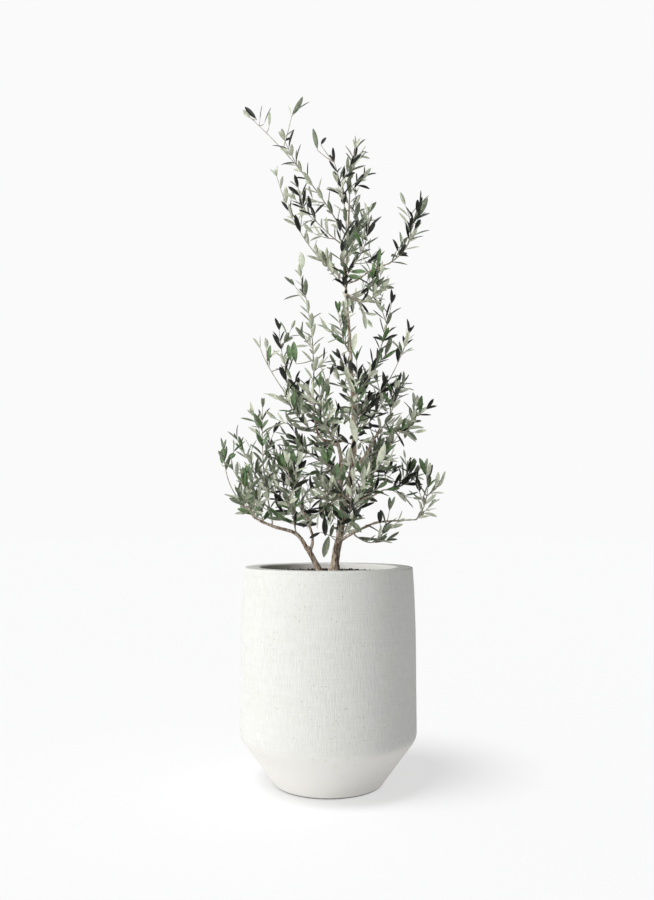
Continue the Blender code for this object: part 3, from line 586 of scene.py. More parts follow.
# Each limb: its radius at foot and tip, and points along its axis.
limbs = {
    "trunk": dict(girth=(0.0105, 0.0078), line=[
        (0.012, 0, 0.455), (0.017, 0, 0.508), (0.024, -0.004, 0.543), (0.034, 0, 0.6)]),
    "leader": dict(girth=(0.0064, 0.0022), line=[
        (0.034, 0, 0.6), (0.059, 0.012, 0.743), (0.058, 0.012, 0.874), (0.051, 0.005, 1.018),
        (0.042, 0, 1.151), (0.05, 0, 1.344)]),
    "left_stem": dict(girth=(0.0056, 0.004), line=[
        (0.032, 0, 0.588), (0.027, -0.008, 0.671), (0.029, -0.014, 0.729), (0.022, -0.018, 0.769)]),
    "left_bough": dict(girth=(0.0036, 0.002), line=[
        (0.024, -0.017, 0.762), (-0.018, -0.024, 0.78), (-0.032, -0.024, 0.822), (-0.036, -0.022, 0.879)]),
    "second_stem": dict(girth=(0.0072, 0.0056), line=[
        (-0.014, 0.005, 0.455), (-0.033, 0.002, 0.496), (-0.048, 0, 0.522)]),
    "arch_bough": dict(girth=(0.005, 0.0022), line=[
        (-0.048, 0, 0.522), (-0.076, -0.005, 0.558), (-0.128, -0.02, 0.575), (-0.168, -0.03, 0.594),
        (-0.187, -0.03, 0.615)]),
    "second_riser": dict(girth=(0.004, 0.0024), line=[
        (-0.043, 0.001, 0.514), (-0.037, 0.008, 0.545), (-0.046, 0.012, 0.58), (-0.063, 0.014, 0.618)]),
    "low_right_bough": dict(girth=(0.0046, 0.0034), line=[
        (0.018, -0.001, 0.512), (0.021, -0.022, 0.535), (0.042, -0.036, 0.552), (0.064, -0.038, 0.564)]),
    "right_arm": dict(girth=(0.0032, 0.0018), line=[
        (0.064, -0.038, 0.564), (0.108, -0.036, 0.583), (0.156, -0.026, 0.588), (0.198, -0.018, 0.59)]),
    "right_bough": dict(girth=(0.0036, 0.0022), line=[
        (0.041, 0.004, 0.638), (0.062, 0.012, 0.638), (0.095, 0.02, 0.643), (0.128, 0.024, 0.659)]),
    "mid_right_bough": dict(girth=(0.0036, 0.002), line=[
        (0.056, 0.01, 0.712), (0.084, 0.002, 0.738), (0.106, -0.01, 0.776), (0.12, -0.014, 0.803)]),
    "upper_right_bough": dict(girth=(0.0028, 0.0017), line=[
        (0.042, 0, 1.156), (0.066, -0.006, 1.16), (0.099, -0.015, 1.18), (0.14, -0.015, 1.197)]),
}
barkForm = dict(
    steps=10, sides=20, flareRise=0.030, flare={"trunk": 0.62, "second_stem": 0.34}, collarLength=0.010,
    collar=0.35, grid=0.00096, smoothing=0.5, smoothTimes=4, knot=0.011, knotHeight=0.0021, ridge=0.0030,
    ridgeHeight=0.0007,
)


def limbRadii(name, line):
    foot, tip = limbs[name]["girth"]
    last = len(line) - 1
    along = 0.0
    radii = []
    for index, point in enumerate(line):
        radius = foot + (tip - foot) * index / last
        if name in barkForm["flare"]:  # the root flare at the surface of the mix
            above = max(point.z - mixForm["top"], 0.0) / barkForm["flareRise"]
            radius *= 1 + barkForm["flare"][name] * max(1 - above, 0.0) ** 2
        elif name != "leader":  # the collar where a bough leaves its carrier
            radius *= 1 + barkForm["collar"] * max(1 - along / barkForm["collarLength"], 0.0)
        radii.append(radius)
        if index < last:
            along += (line[index + 1] - point).length
    return radii


limbLines = {name: smoothLine(limb["line"], barkForm["steps"]) for name, limb in limbs.items()}


def makeBark():
    form = barkForm
    batch = newBatch()
    for name, line in limbLines.items():
        points, faces = tube(line, limbRadii(name, line), form["sides"])
        addShape(batch, points, faces, [0] * len(faces))
    bark = makeBatch("bark_wood", batch)
    applyModifier(bark, "REMESH", mode="VOXEL", voxel_size=form["grid"])
    applyModifier(bark, "SMOOTH", factor=form["smoothing"], iterations=form["smoothTimes"])
    roughen(bark, "CLOUDS", form["knot"], form["knotHeight"])
    roughen(bark, "CLOUDS", form["ridge"], form["ridgeHeight"])
    return bark


# Young olive bark: thin and dull, grey-tan where it is lit, with darker cracks and pale pores.
barkLook = dict(
    roughness=0.82, ior=1.45, dark="#3d2e25", mid="#a5927f", pale="#d9cfc0", pore="#ddd4c7",
    tones=dict(dark=0.38, mid=0.49, pale=0.64), crack=5.0, crackLength=26, crackDetail=6.0,
    crackRoughness=0.62, crackDistortion=0.6, poreEvery=6.0, poreSize=(0.06, 0.16), poreShare=0.7,
    relief=0.7, reliefDepth=0.5,
)


def oliveBark():
    look = barkLook
    material = newMaterial("olive_bark", look["roughness"], ior=look["ior"])
    place = addNode(material, "ShaderNodeTexCoord").outputs["Object"]
    across, along = 1 / (look["crack"] * mm), 1 / (look["crackLength"] * mm)
    drawn = addNode(material, "ShaderNodeMapping", {"Vector": place, "Scale": (across, across, along)})
    cracks = addNode(material, "ShaderNodeTexNoise", {
        "Vector": drawn.outputs["Vector"], "Scale": 1.0, "Detail": look["crackDetail"],
        "Roughness": look["crackRoughness"], "Distortion": look["crackDistortion"]}).outputs["Fac"]
    tone = addNode(material, "ShaderNodeValToRGB", {"Fac": cracks}, stops=[
        (share, linear(look[name])) for name, share in look["tones"].items()])
    pores = addNode(material, "ShaderNodeTexVoronoi", {
        "Vector": place, "Scale": 1 / (look["poreEvery"] * mm)})
    low, high = look["poreSize"]  # as shares of the spacing
    inPore = addNode(material, "ShaderNodeMapRange", {
        "Value": pores.outputs["Distance"], "From Min": low, "From Max": high,
        "To Min": look["poreShare"], "To Max": 0.0})
    colour = addNode(material, "ShaderNodeMix", {
        "Factor": inPore.outputs["Result"], 6: tone.outputs["Color"], 7: linear(look["pore"])},
        data_type="RGBA")
    plug(material, "Base Color", colour.outputs[2])
    bump = addNode(material, "ShaderNodeBump", {
        "Strength": look["relief"], "Distance": look["reliefDepth"] * mm, "Height": cracks})
    plug(material, "Normal", bump.outputs["Normal"])
    return material


bark = makeBark()
finishPiece(bark, [oliveBark()], radians(70))
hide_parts(*limbs)
print("bark made:", len(bark.data.polygons), "faces")


# Each mass of foliage: the limb that carries its stem and how far along (1 is the tip), the stem's tip,
# how far its middle bows, how far shoots spread and how many they are. Some stems have larger forks
# (share of the stem, tip), or a stretch between two shares that is bare.
def foliage(carrier, at, tip, bow, spread, shoots, **more):
    return dict(carrier=carrier, at=at, tip=tip, bow=bow, spread=spread, shoots=shoots, **more)


masses = {
    "foliage_top": foliage("leader", 1, (0.069, 0, 1.492), (-0.004, 0, 0), 0.07, 2),
    "foliage_top_left": foliage("leader", 0.86, (0.014, -0.035, 1.44), (0.01, -0.012, 0), 0.07, 2),
    "foliage_long_shoot": foliage(
        "leader", 0.93, (-0.188, -0.02, 1.558), (0.012, -0.01, 0.004), 0.08, 2,
        forks=[(0.72, (-0.089, -0.021, 1.562))], bare=(0.6, 0.97)),
    "foliage_high_left": foliage("leader", 0.818, (-0.128, 0.045, 1.44), (-0.016, 0.01, -0.02), 0.07, 3),
    "foliage_upper_left": foliage("leader", 0.9, (-0.076, -0.075, 1.33), (-0.004, -0.004, -0.004), 0.07, 2),
    "foliage_upper_right": foliage(
        "upper_right_bough", 1, (0.184, -0.02, 1.34), (0.03, 0, -0.012), 0.06, 2,
        forks=[(0.5, (0.212, -0.036, 1.3))]),
    "foliage_hanging": foliage("leader", 0.768, (0.12, -0.08, 1.15), (0.008, -0.012, -0.042), 0.05, 2),
    "foliage_inner_right": foliage("leader", 0.84, (0.094, -0.048, 1.278), (0.01, -0.01, -0.008), 0.06, 2),
    "foliage_upper_back": foliage("leader", 0.88, (0.07, 0.11, 1.42), (0.006, 0.02, -0.02), 0.08, 3),
    "foliage_upper_front": foliage("leader", 0.78, (0.026, -0.125, 1.235), (0, -0.02, -0.02), 0.07, 3),
    "foliage_back_right": foliage("leader", 0.76, (0.13, 0.105, 1.255), (0.01, 0.018, -0.02), 0.08, 3),
    "foliage_tall_left": foliage("left_bough", 1, (-0.066, -0.02, 1.165), (0.012, 0, 0), 0.05, 2),
    "foliage_side_left": foliage(
        "left_bough", 0.74, (-0.158, -0.055, 0.984), (-0.01, -0.006, -0.014), 0.06, 3),
    "foliage_mid_left": foliage("left_bough", 0.9, (-0.12, 0.04, 1.05), (-0.016, 0.008, -0.014), 0.06, 2),
    "foliage_low_left_twig": foliage(
        "left_bough", 0.45, (-0.104, -0.1, 0.885), (-0.006, -0.01, -0.012), 0.06, 3),
    "foliage_stem_twig": foliage("leader", 0.56, (0.024, -0.045, 1.07), (-0.004, -0.01, -0.01), 0.05, 2),
    "foliage_tall_right": foliage("leader", 0.417, (0.152, 0.02, 1.11), (0.01, 0.004, -0.012), 0.06, 3),
    "foliage_side_right": foliage("leader", 0.33, (0.186, -0.045, 1.02), (0.01, -0.01, -0.016), 0.06, 3),
    "foliage_right_tuft": foliage(
        "mid_right_bough", 0.86, (0.156, -0.06, 0.905), (0.01, -0.01, -0.006), 0.06, 3),
    "foliage_right_reach": foliage(
        "mid_right_bough", 1, (0.21, 0.008, 0.855), (0.02, 0.002, -0.022), 0.05, 2),
    "foliage_mid_front": foliage("leader", 0.27, (0.062, -0.13, 0.94), (0.004, -0.025, -0.03), 0.07, 6),
    "foliage_mid_front_left": foliage(
        "left_stem", 1, (-0.02, -0.125, 0.88), (-0.006, -0.02, -0.025), 0.07, 6),
    "foliage_mid_back": foliage("leader", 0.36, (0.05, 0.14, 0.985), (0.004, 0.024, -0.03), 0.08, 4),
    "foliage_mid_back_left": foliage("leader", 0.24, (-0.05, 0.115, 0.92), (-0.01, 0.024, -0.024), 0.08, 4),
    "foliage_mid_back_right": foliage("leader", 0.3, (0.14, 0.12, 0.93), (0.01, 0.02, -0.024), 0.08, 4),
    "foliage_arch_tip": foliage("arch_bough", 1, (-0.243, -0.03, 0.75), (-0.012, 0, -0.01), 0.05, 3),
    "foliage_arch_low": foliage(
        "arch_bough", 0.72, (-0.186, -0.085, 0.685), (-0.006, -0.014, -0.014), 0.06, 3),
    "foliage_arch_riser": foliage("arch_bough", 0.52, (-0.154, -0.02, 0.85), (-0.01, 0.012, 0), 0.06, 3),
    "foliage_arch_back": foliage("arch_bough", 0.62, (-0.19, 0.08, 0.7), (0, 0.02, -0.014), 0.07, 3),
    "foliage_left_long": foliage(
        "second_riser", 0.8, (-0.22, 0.045, 0.782), (-0.01, 0.006, -0.012), 0.06, 3),
    "foliage_left_pale": foliage("second_riser", 1, (-0.126, 0.016, 0.756), (0.006, 0, 0.004), 0.05, 2),
    "foliage_left_front": foliage("arch_bough", 0.26, (-0.09, -0.12, 0.71), (0, -0.022, -0.018), 0.07, 4),
    "foliage_left_inner": foliage(
        "left_stem", 0.55, (-0.078, -0.062, 0.79), (-0.012, -0.004, -0.012), 0.06, 3),
    "foliage_left_back": foliage("second_riser", 0.6, (-0.11, 0.125, 0.755), (0, 0.026, -0.022), 0.08, 4),
    "foliage_low_front": foliage(
        "left_stem", 0.22, (-0.01, -0.115, 0.66), (-0.004, -0.02, -0.018), 0.06, 4,
        forks=[(0.4, (0.02, -0.085, 0.592)), (0.55, (-0.036, -0.09, 0.592))]),
    "foliage_low_back": foliage("leader", 0.07, (0, 0.14, 0.725), (0, 0.026, -0.024), 0.08, 4),
    "foliage_dipping_right": foliage(
        "low_right_bough", 0.9, (0.136, -0.08, 0.61), (0.01, -0.012, -0.038), 0.04, 2),
    "foliage_pale_right": foliage(
        "low_right_bough", 0.78, (0.164, -0.075, 0.79), (-0.022, -0.014, -0.014), 0.06, 4),
    "foliage_low_right_front": foliage(
        "low_right_bough", 0.5, (0.056, -0.145, 0.71), (0.004, -0.022, -0.026), 0.07, 4),
    "foliage_right_end": foliage("right_arm", 1, (0.232, -0.015, 0.69), (0.008, 0, -0.008), 0.05, 2),
    "foliage_right_riser": foliage("right_bough", 1, (0.196, 0.03, 0.704), (0.008, 0, -0.012), 0.06, 3),
    "foliage_right_back": foliage("right_bough", 0.6, (0.12, 0.13, 0.765), (0.004, 0.026, -0.022), 0.08, 4),
    "foliage_right_inner": foliage("leader", 0.15, (0.122, 0.05, 0.78), (0.01, 0.01, -0.016), 0.06, 3),
}

# Where the crown may have leaves. Its sides are rows of height, reach to the left of the planter's axis
# and reach to the right, and its skirt says how low leaves may hang.
crownReach = dict(
    sides=[
        (0.48, 0.06, 0.1), (0.56, 0.16, 0.22), (0.61, 0.215, 0.265), (0.67, 0.25, 0.266),
        (0.72, 0.266, 0.266), (0.78, 0.266, 0.23), (0.83, 0.215, 0.24), (0.88, 0.195, 0.258),
        (0.98, 0.185, 0.205), (1.04, 0.18, 0.21), (1.12, 0.135, 0.185), (1.2, 0.1, 0.205),
        (1.3, 0.11, 0.245), (1.37, 0.125, 0.245), (1.45, 0.15, 0.13), (1.52, 0.185, 0.1),
        (1.6, 0.24, 0.02), (1.65, 0.23, 0)],
    leastDepth=0.15, mostDepth=0.215, slack=1.05,
    skirt=[(-0.27, 0.6), (-0.19, 0.6), (-0.1, 0.585), (-0.04, 0.562), (0.05, 0.56),  # (x, height)
           (0.12, 0.53), (0.16, 0.545), (0.25, 0.58)],
    # Open places in the crown as they are seen from the camera: x, z, half width, half height.
    gaps=[(-0.027, 1.156, 0.026, 0.054), (-0.132, 0.918, 0.028, 0.031), (-0.177, 0.964, 0.029, 0.043),
          (-0.25, 0.688, 0.033, 0.028), (-0.142, 1.374, 0.029, 0.055), (-0.078, 1.254, 0.022, 0.035),
          (0.013, 1.254, 0.017, 0.02), (0.158, 0.954, 0.024, 0.019), (0.201, 0.954, 0.024, 0.024)],
)

# How stems, shoots and leaves grow. The leaves are of life size, in pairs that turn along the shoot.
growth = dict(
    seed=53, collar=0.0046, stemRadius=0.0019, shootRadius=0.0013, tipRadius=0.0007, twigSides=6,
    stemSteps=14, shootSteps=6, wander=0.0022, wanderRate=3.0, wanderApart=7.3, forkSag=0.004,
    shootShare=1.4, lowShare=0.5, lowHeight=0.88, shootsBetween=(0.08, 0.92), shootJitter=(0.2, 0.8),
    shootLengths=(1.15, 0.60), shootVariation=0.25, shootAngle=radians(46), angleVariation=(0.8, 1.15),
    turnPerShoot=radians(137.5), shootLift=0.45, shootBow=0.12,
    stemFirstLeaf=0.10, shootFirstLeaf=0.24, lastLeaf=0.97, spacing=0.0205, leafLength=(0.033, 0.048),
    leafWidth=(0.210, 0.300), leafBend=(-0.20, 0.45), leafTwist=0.35, leafAngle=radians(41),
    tipAngle=radians(26), tipScale=0.72, tipInset=0.001, opening=3, filling=4, wobble=0.30,
    angleWobble=0.4, lookUp=0.30,
    tipLeaves=[(0, radians(18), 0.84), (pi, radians(22), 0.78), (0.4, radians(4), 0.56)],
    turnsTried=(0.0, radians(28), radians(-28), radians(50)), probes=(0.35, 0.65, 0.98),
    leafClearance=0.0036, limbClearance=0.0015, potClearance=0.006, sharing=0.010, spreadSlack=0.030,
    cellSize=0.008, keepKind=0.5, shadeRight=1.3, shadeReach=0.15, freshTop=1.25, darkLeft=-0.13,
)
noise.seed_set(growth["seed"])


def stemLine(name):
    mass = masses[name]
    limb = limbLines[mass["carrier"]]
    radii = limbRadii(mass["carrier"], limb)
    tip, bow = Vector(mass["tip"]), Vector(mass["bow"])
    if mass["at"] >= 1.0:
        start = limb[-1]
        outward = headings(limb)[-1]
        collar = start + outward * growth["collar"]
    else:
        start, index = lineAt(limb, mass["at"])
        along = (limb[index + 1] - limb[index]).normalized()
        aim = (tip - start) * 0.5 + 2 * bow
        outward = (aim - along * aim.dot(along)).normalized()
        collar = start + outward * (radii[index] + growth["collar"])
    line = bowedLine(collar, tip, bow, growth["stemSteps"])
    apart = list(masses).index(name) * growth["wanderApart"]
    for index, point in enumerate(line):  # a young stem isn't quite straight
        share = index / growth["stemSteps"]
        place = Vector((share * growth["wanderRate"], apart, 0.0))
        line[index] = point + noise.noise_vector(place) * growth["wander"] * 4 * share * (1 - share)
    return [start] + line


def forkLines(name, stem):
    sag = Vector((0, 0, -growth["forkSag"]))
    return [bowedLine(lineAt(stem, share)[0], Vector(end), sag, growth["shootSteps"])
            for share, end in masses[name].get("forks", [])]


def treeOf(points):
    tree = KDTree(len(points))
    for index, point in enumerate(points):
        tree.insert(point, index)
    tree.balance()
    return tree


def makeSpace():  # what a growing mass keeps clear of
    stems = {name: stemLine(name) for name in masses}
    own = {name: sum(forkLines(name, stem), stem) for name, stem in stems.items()}
    woody = []
    for name, line in limbLines.items():
        woody += zip(line, limbRadii(name, line))
    return dict(
        stems=stems, stemTree=treeOf([point for points in own.values() for point in points]),
        limbTree=treeOf([point for point, radius in woody]), girths=[radius for point, radius in woody],
        own={name: np.array([tuple(point) for point in points]) for name, points in own.items()},
        taken={})


def inGap(point):  # whether the camera would see the point in an open place
    eye = Vector(view["place"])
    seen = eye + (point - eye) * (-eye.y / (point.y - eye.y))
    return any(((seen.x - x) / wide) ** 2 + ((seen.z - z) / high) ** 2 < 1
               for x, z, wide, high in crownReach["gaps"])


def insideCrown(point):
    heights, lefts, rights = zip(*crownReach["sides"])
    left = np.interp(point.z, heights, lefts)
    right = np.interp(point.z, heights, rights)
    half = (left + right) / 2
    places, floors = zip(*crownReach["skirt"])
    if point.z < np.interp(point.x, places, floors) or inGap(point):
        return False
    across = (point.x - (right - left) / 2) / half
    deep = point.y / min(max(half, crownReach["leastDepth"]), crownReach["mostDepth"])
    return across ** 2 + deep ** 2 < crownReach["slack"]


def isFree(space, name, points):
    for point in points:
        own = float(np.sqrt(((space["own"][name] - np.array(point)) ** 2).sum(axis=1).min()))
        if own > masses[name]["spread"] + growth["spreadSlack"]:
            return False
        nearest = space["stemTree"].find(point)
        if own > nearest[2] + growth["sharing"]:
            return False
        limb = space["limbTree"].find(point)
        if limb[2] < space["girths"][limb[1]] + growth["limbClearance"]:
            return False
        if point.z < planterForm["height"] + growth["potClearance"] or not insideCrown(point):
            return False
    return True


def cell(point):
    return tuple(int(place // growth["cellSize"]) for place in point)


def isClear(space, points, clearance):
    for point in points:
        x, y, z = cell(point)
        for key in ((x + i, y + j, z + k) for i in (-1, 0, 1) for j in (-1, 0, 1) for k in (-1, 0, 1)):
            for other in space["taken"].get(key, ()):
                if (other - point).length < clearance:
                    return False
    return True


def take(space, points):
    for point in points:
        space["taken"].setdefault(cell(point), []).append(point)


def branchDirection(ahead, turn, angle):
    side = ahead.cross(Vector((0, 0, 1)))
    if side.length < 0.1:
        side = ahead.cross(Vector((0, 1, 0)))
    outward = Matrix.Rotation(turn, 3, ahead) @ side.normalized()
    return (ahead * cos(angle) + outward * sin(angle)).normalized()


# One leaf, as rings of five corners: left edge, rib's left, rib's right, right edge, keel below.
leafForm = dict(
    stations=[(0.00, 0.10), (0.07, 0.09), (0.14, 0.36), (0.28, 0.76), (0.46, 0.98),
              (0.64, 1.00), (0.82, 0.76), (0.94, 0.38), (1.00, 0.07)],
    rib=0.09, fold=0.28, dip=0.05, thickness=0.0007,
)


def leafTemplate():
    form = leafForm
    rows = []
    for along, width in form["stations"]:
        thick = form["thickness"] * (0.5 + 0.5 * width)
        edge, rib = width, min(form["rib"], width * 0.5)
        rows.append([(-edge, along, form["fold"] * edge, 0), (-rib, along, -form["dip"] * width, 0),
                     (rib, along, -form["dip"] * width, 0), (edge, along, form["fold"] * edge, 0),
                     (0, along, -form["dip"] * width, -thick)])
    finishes = [2] + [0, 1, 0, 2, 2] * (len(rows) - 1) + [0]  # 0 is the blade, 1 the rib, 2 the underside
    return np.array(rows).reshape(-1, 4), tubeFaces(len(rows), 5), finishes


leafPoints, leafFaces, leafFinishes = leafTemplate()


def leafShape(root, heading, upward, length, width, bend, twist):
    across = heading.cross(upward).normalized()
    upward = across.cross(heading).normalized()
    share = leafPoints[:, 1]
    half = width / 2
    x = leafPoints[:, 0] * half
    z = leafPoints[:, 2] * half
    turned = twist * share
    x, z = x * np.cos(turned) - z * np.sin(turned), x * np.sin(turned) + z * np.cos(turned)
    z = z + leafPoints[:, 3] - bend * length * share ** 2 / 2
    y = share * length
    axes = np.array([across, heading, upward])
    return np.array(root) + np.stack([x, y, z], axis=1) @ axes


kinds = {  # the share of sprays of each kind, and the size of its leaves against a mature one's
    "mature": dict(share=0.32, size=1.0), "shaded": dict(share=0.17, size=1.0),
    "pale": dict(share=0.37, size=0.95), "fresh": dict(share=0.14, size=1.02),
}


def pickKind(rng, point):  # painted shade: the side away from the key light gets more of the near-black shaded kind
    shade = 1 + growth["shadeRight"] * min(max(point[0] / growth["shadeReach"], 0.0), 1.0)
    shares = [facts["share"] * (shade if kind == "shaded" else 1.0) for kind, facts in kinds.items()]
    return rng.choices(list(kinds), shares)[0]


def shownKind(kind, root):  # high up a fresh leaf takes the near-black shaded kind of painted shade, and far out on the left, towards the key light, a shaded one is mature
    if kind == "fresh" and root.z > growth["freshTop"]:
        return "shaded"
    if kind == "shaded" and root.x < growth["darkLeft"]:
        return "mature"
    return kind


def growLeaf(space, name, batches, rng, kind, root, ahead, turn, angle, scale):
    length = rng.uniform(*growth["leafLength"]) * kinds[kind]["size"] * scale
    width = length * rng.uniform(*growth["leafWidth"])
    bend = rng.uniform(*growth["leafBend"])
    twist = rng.uniform(-growth["leafTwist"], growth["leafTwist"])
    for turnedBy in growth["turnsTried"]:
        heading = branchDirection(ahead, turn + turnedBy, angle)
        upward = ahead - heading * ahead.dot(heading)  # the upper face looks to the shoot's tip and up
        if upward.length < 0.05:
            upward = heading.orthogonal()
        upward = (upward.normalized() + Vector((0, 0, growth["lookUp"]))).normalized()
        probes = [root + heading * length * share for share in growth["probes"]]
        if isFree(space, name, probes) and isClear(space, probes, growth["leafClearance"]):
            points = leafShape(root, heading, upward, length, width, bend, twist)
            addShape(batches[shownKind(kind, root)], points, leafFaces, leafFinishes)
            take(space, probes)
            return True
    return False


def growTwig(space, batches, line, foot, finish):
    last = len(line) - 1
    radii = [foot + (growth["tipRadius"] - foot) * index / last for index in range(last + 1)]
    points, faces = tube(line, radii, growth["twigSides"])
    addShape(batches["twigs"], points, faces, [finish] * len(faces))
    take(space, [a.lerp(b, share) for a, b in zip(line, line[1:]) for share in (0.0, 0.5)])


def leavesAlong(space, name, batches, rng, kind, line, first, bare=(1, 1)):
    length = lineLength(line)
    pairs = max(round(length * (1 - first) / growth["spacing"]), 1)
    quarter = rng.uniform(0, pi)
    ahead = headings(line)
    for pair in range(pairs):
        share = first + (growth["lastLeaf"] - first) * pair / pairs
        if bare[0] < share < bare[1]:
            continue
        root, index = lineAt(line, share)
        ripeness = 1 - share
        opened = min(ripeness * growth["opening"], 1)  # a leaf near the tip is smaller and less open
        angle = growth["tipAngle"] + (growth["leafAngle"] - growth["tipAngle"]) * opened
        scale = growth["tipScale"] + (1 - growth["tipScale"]) * min(ripeness * growth["filling"], 1)
        pairKind = kind if rng.random() < growth["keepKind"] else pickKind(rng, root)
        for halfTurn in (0, pi):
            wobble = rng.uniform(-growth["wobble"], growth["wobble"])
            growLeaf(space, name, batches, rng, pairKind, root, ahead[index],
                     quarter + halfTurn + wobble, angle + wobble * growth["angleWobble"], scale)
        quarter += pi / 2
    for turn, angle, scale in growth["tipLeaves"]:
        growLeaf(space, name, batches, rng, kind, line[-1] - ahead[-1] * growth["tipInset"], ahead[-1],
                 quarter + turn, angle, scale)


def sideShoot(rng, line, share, turn, length):
    start, index = lineAt(line, share)
    ahead = headings(line)[index]
    heading = branchDirection(ahead, turn, growth["shootAngle"] * rng.uniform(*growth["angleVariation"]))
    lifted = (heading + Vector((0, 0, growth["shootLift"]))).normalized()
    end = start + (heading + lifted).normalized() * length
    return bowedLine(start, end, (heading - lifted) * length * growth["shootBow"], growth["shootSteps"])


def growMass(name, space, batches):
    mass = masses[name]
    rng = random.Random(growth["seed"] + list(masses).index(name))
    stem = space["stems"][name]
    growTwig(space, batches, stem, growth["stemRadius"], 0)
    bare = mass.get("bare", (1, 1))
    shoots = []
    forks = forkLines(name, stem)
    for line in forks:
        shoots.append(line)
        growTwig(space, batches, line, growth["shootRadius"], 1)
    lowest, highest = growth["shootsBetween"]
    longest, shortest = growth["shootLengths"]
    low = mass["tip"][2] < growth["lowHeight"]  # the crown is denser near the planter
    count = round(mass["shoots"] * (growth["shootShare"] + (growth["lowShare"] if low else 0)))
    turn = rng.uniform(0, 2 * pi)
    for number in range(count):
        share = lowest + (highest - lowest) * (number + rng.uniform(*growth["shootJitter"])) / count
        if bare[0] < share < bare[1]:
            continue
        length = mass["spread"] * (longest + (shortest - longest) * share)
        length *= rng.uniform(1 - growth["shootVariation"], 1 + growth["shootVariation"])
        line = sideShoot(rng, stem, share, turn, length)
        turn += growth["turnPerShoot"]
        if isFree(space, name, line[2:]) and isClear(space, line[2:], growth["leafClearance"]):
            shoots.append(line)
            growTwig(space, batches, line, growth["shootRadius"], 1)
    leavesAlong(space, name, batches, rng, pickKind(rng, stem[-1]), stem, growth["stemFirstLeaf"], bare)
    for line in shoots:
        kind = pickKind(rng, line[-1])
        forkBare = (0, growth["lastLeaf"]) if line in forks and bare[0] < 1 else (1, 1)
        leavesAlong(space, name, batches, rng, kind, line, growth["shootFirstLeaf"], forkBare)


# Olive leaves: leathery, grey-green and faintly glossy above, felted with silvery scales below.
leafLooks = {
    "mature": dict(blade="#656d5a", blade2="#7e8872", rib="#a8ae98", under="#babeac", under2="#c9cdbc"),
    # the shaded kind is painted shade: near-black leaves that stand in for leaves in shadow
    "shaded": dict(blade="#1a1e18", blade2="#272b23", rib="#565c4c", under="#4e5447", under2="#65695b"),
    "pale": dict(blade="#b6bba6", blade2="#c7ccb8", rib="#d5dac4", under="#d2d7c5", under2="#dfe3d3"),
    "fresh": dict(blade="#4f693f", blade2="#67805a", rib="#93a87c", under="#8fa37c", under2="#a5b591"),
}
leafSurface = dict(mottle=7.0, mottleDetail=2.0, tones=(0.40, 0.60), ior=1.38, bladeRoughness=0.50,
                   underRoughness=0.80, sheen=0.25)


def leafMaterial(name, low, high, roughness, sheen):
    surface = leafSurface
    material = newMaterial(name, roughness, ior=surface["ior"], Sheen_Weight=sheen)
    place = addNode(material, "ShaderNodeTexCoord").outputs["Object"]
    mottle = addNode(material, "ShaderNodeTexNoise", {
        "Vector": place, "Scale": 1 / (surface["mottle"] * mm), "Detail": surface["mottleDetail"]})
    start, end = surface["tones"]
    tone = addNode(material, "ShaderNodeValToRGB", {"Fac": mottle.outputs["Fac"]}, stops=[
        (start, linear(low)), (end, linear(high))])
    plug(material, "Base Color", tone.outputs["Color"])
    return material


def leafMaterials(kind):
    look, surface = leafLooks[kind], leafSurface
    gloss = surface["bladeRoughness"]
    blade = leafMaterial("olive_leaf_" + kind, look["blade"], look["blade2"], gloss, 0.0)
    rib = leafMaterial("leaf_rib_" + kind, look["rib"], look["rib"], gloss, 0.0)
    felt = (surface["underRoughness"], surface["sheen"])
    return [blade, rib, leafMaterial("leaf_felt_" + kind, look["under"], look["under2"], *felt)]


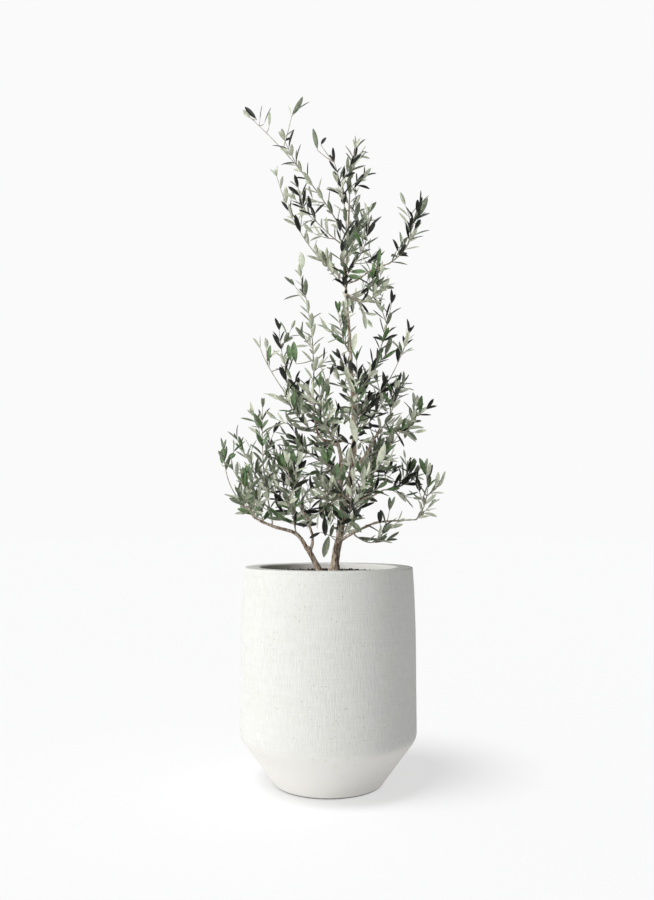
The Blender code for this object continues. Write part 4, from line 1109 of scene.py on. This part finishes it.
# Leaves that stand out from the rest: root, tip, kind, width as a share of length, and which way the
# upper face looks.
markedForm = dict(reach=0.003, sag=0.002, steps=5, bend=0.15, twist=0.1)
faceTo = {
    "front": Vector((-0.35, -1, 0.25)), "back": Vector((0.3, 1, 0.2)), "side": Vector((-1, -0.25, 0.3))}
marked = [
    ((0.002, -0.03, 0.556), (-0.012, -0.045, 0.506), "mature", 0.3, "front"),
    ((-0.017, -0.055, 0.637), (-0.015, -0.062, 0.592), "mature", 0.3, "front"),
    ((-0.008, -0.05, 0.6), (-0.008, -0.058, 0.554), "shaded", 0.3, "front"),
    ((0.001, -0.05, 0.628), (0.001, -0.056, 0.588), "shaded", 0.26, "front"),
    ((0.012, -0.04, 0.582), (0.004, -0.048, 0.553), "mature", 0.3, "front"),
    ((-0.017, -0.05, 0.562), (-0.044, -0.05, 0.549), "shaded", 0.26, "front"),
    ((-0.076, -0.03, 0.953), (-0.083, -0.03, 1.007), "fresh", 0.3, "front"),
    ((-0.086, -0.06, 0.951), (-0.094, -0.064, 0.992), "fresh", 0.3, "front"),
    ((-0.139, -0.06, 0.949), (-0.135, -0.064, 0.991), "fresh", 0.26, "front"),
    ((0.056, -0.06, 0.975), (0.063, -0.064, 1.019), "pale", 0.3, "front"),
    ((-0.094, -0.09, 0.703), (-0.11, -0.096, 0.739), "fresh", 0.26, "front"),
    ((0.031, -0.09, 0.669), (0.035, -0.098, 0.712), "fresh", 0.26, "front"),
    ((0.115, -0.06, 1.173), (0.12, -0.064, 1.22), "fresh", 0.22, "front"),
    ((-0.246, -0.03, 0.716), (-0.244, -0.03, 0.758), "fresh", 0.34, "front"),
    ((-0.079, -0.06, 0.84), (-0.081, -0.06, 0.884), "fresh", 0.3, "front"),
    ((-0.072, -0.06, 0.712), (-0.092, -0.07, 0.759), "fresh", 0.3, "front"),
    ((-0.072, -0.06, 0.712), (-0.06, -0.07, 0.759), "pale", 0.3, "back"),
    ((-0.003, -0.09, 0.714), (-0.017, -0.1, 0.755), "fresh", 0.3, "front"),
    ((-0.003, -0.09, 0.714), (0.004, -0.1, 0.758), "fresh", 0.28, "front"),
    ((0.017, -0.09, 0.676), (0.019, -0.1, 0.716), "fresh", 0.34, "front"),
    ((0.215, -0.01, 0.836), (0.218, -0.01, 0.882), "fresh", 0.26, "front"),
    ((0.201, -0.03, 1.297), (0.236, -0.035, 1.35), "mature", 0.26, "back"),
    ((-0.089, -0.021, 1.562), (-0.062, -0.02, 1.61), "mature", 0.24, "back"),
    ((-0.084, -0.021, 1.572), (-0.048, -0.024, 1.6), "mature", 0.18, "side"),
    ((-0.173, -0.02, 1.554), (-0.203, -0.02, 1.588), "shaded", 0.24, "front"),
    ((-0.166, -0.02, 1.55), (-0.164, -0.02, 1.59), "mature", 0.18, "side"),
    ((-0.156, -0.02, 1.543), (-0.142, -0.02, 1.586), "mature", 0.18, "side"),
    ((-0.144, -0.02, 1.534), (-0.142, -0.022, 1.574), "pale", 0.2, "back"),
    ((-0.108, -0.02, 1.508), (-0.084, -0.022, 1.53), "mature", 0.22, "side"),
    ((-0.106, -0.02, 1.5), (-0.088, -0.024, 1.508), "shaded", 0.4, "front"),
    ((-0.063, -0.02, 1.182), (-0.065, -0.02, 1.224), "pale", 0.4, "back"),
    ((-0.026, -0.035, 1.47), (-0.036, -0.036, 1.522), "mature", 0.22, "back"),
    ((-0.018, -0.036, 1.482), (-0.006, -0.037, 1.502), "shaded", 0.44, "front"),
    ((0.064, -0.1, 0.756), (0.05, -0.11, 0.815), "pale", 0.26, "back"),
    ((0.106, -0.1, 0.7), (0.126, -0.1, 0.758), "pale", 0.26, "back"),
]


def growMarked(space, batches):
    form = markedForm
    for root, tip, kind, width, facing in marked:
        root, tip = Vector(root), Vector(tip)
        nearest = [space["stemTree"].find(root), space["limbTree"].find(root)]
        start = min(nearest, key=lambda found: found[2])[0]
        if (root - start).length > form["reach"]:
            twig = bowedLine(start, root, Vector((0, 0, -form["sag"])), form["steps"])
            growTwig(space, batches, twig, growth["shootRadius"], 1)
        heading = (tip - root).normalized()
        length = (tip - root).length
        points = leafShape(
            root, heading, faceTo[facing], length, length * width, form["bend"], form["twist"])
        addShape(batches[kind], points, leafFaces, leafFinishes)
        take(space, [root.lerp(tip, share) for share in growth["probes"]])


space = makeSpace()
batches = {kind: newBatch() for kind in [*kinds, "twigs"]}
growMarked(space, batches)
for name in masses:
    growMass(name, space, batches)

twigs = makeBatch("young_twigs", batches["twigs"])
stemWood = leafMaterial("stem_bark", "#8f867a", "#b6aea2", 0.75, 0.0)  # last year's wood, grey-tan
greenWood = leafMaterial("green_shoot", "#aeb09c", "#c8cab9", 0.65, 0.0)  # this year's, grey-green
finishPiece(twigs, [stemWood, greenWood], radians(60))
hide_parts(*masses)
for kind in kinds:
    leaves = makeBatch("leaves_" + kind, batches[kind])
    finishPiece(leaves, leafMaterials(kind), radians(50))
    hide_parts(*masses)
    print(kind, "leaves:", len(batches[kind]["faces"]) // len(leafFaces))
print("twigs and leaves made")

for name in lamps:
    flagLamp(name)
print("lights flagged")
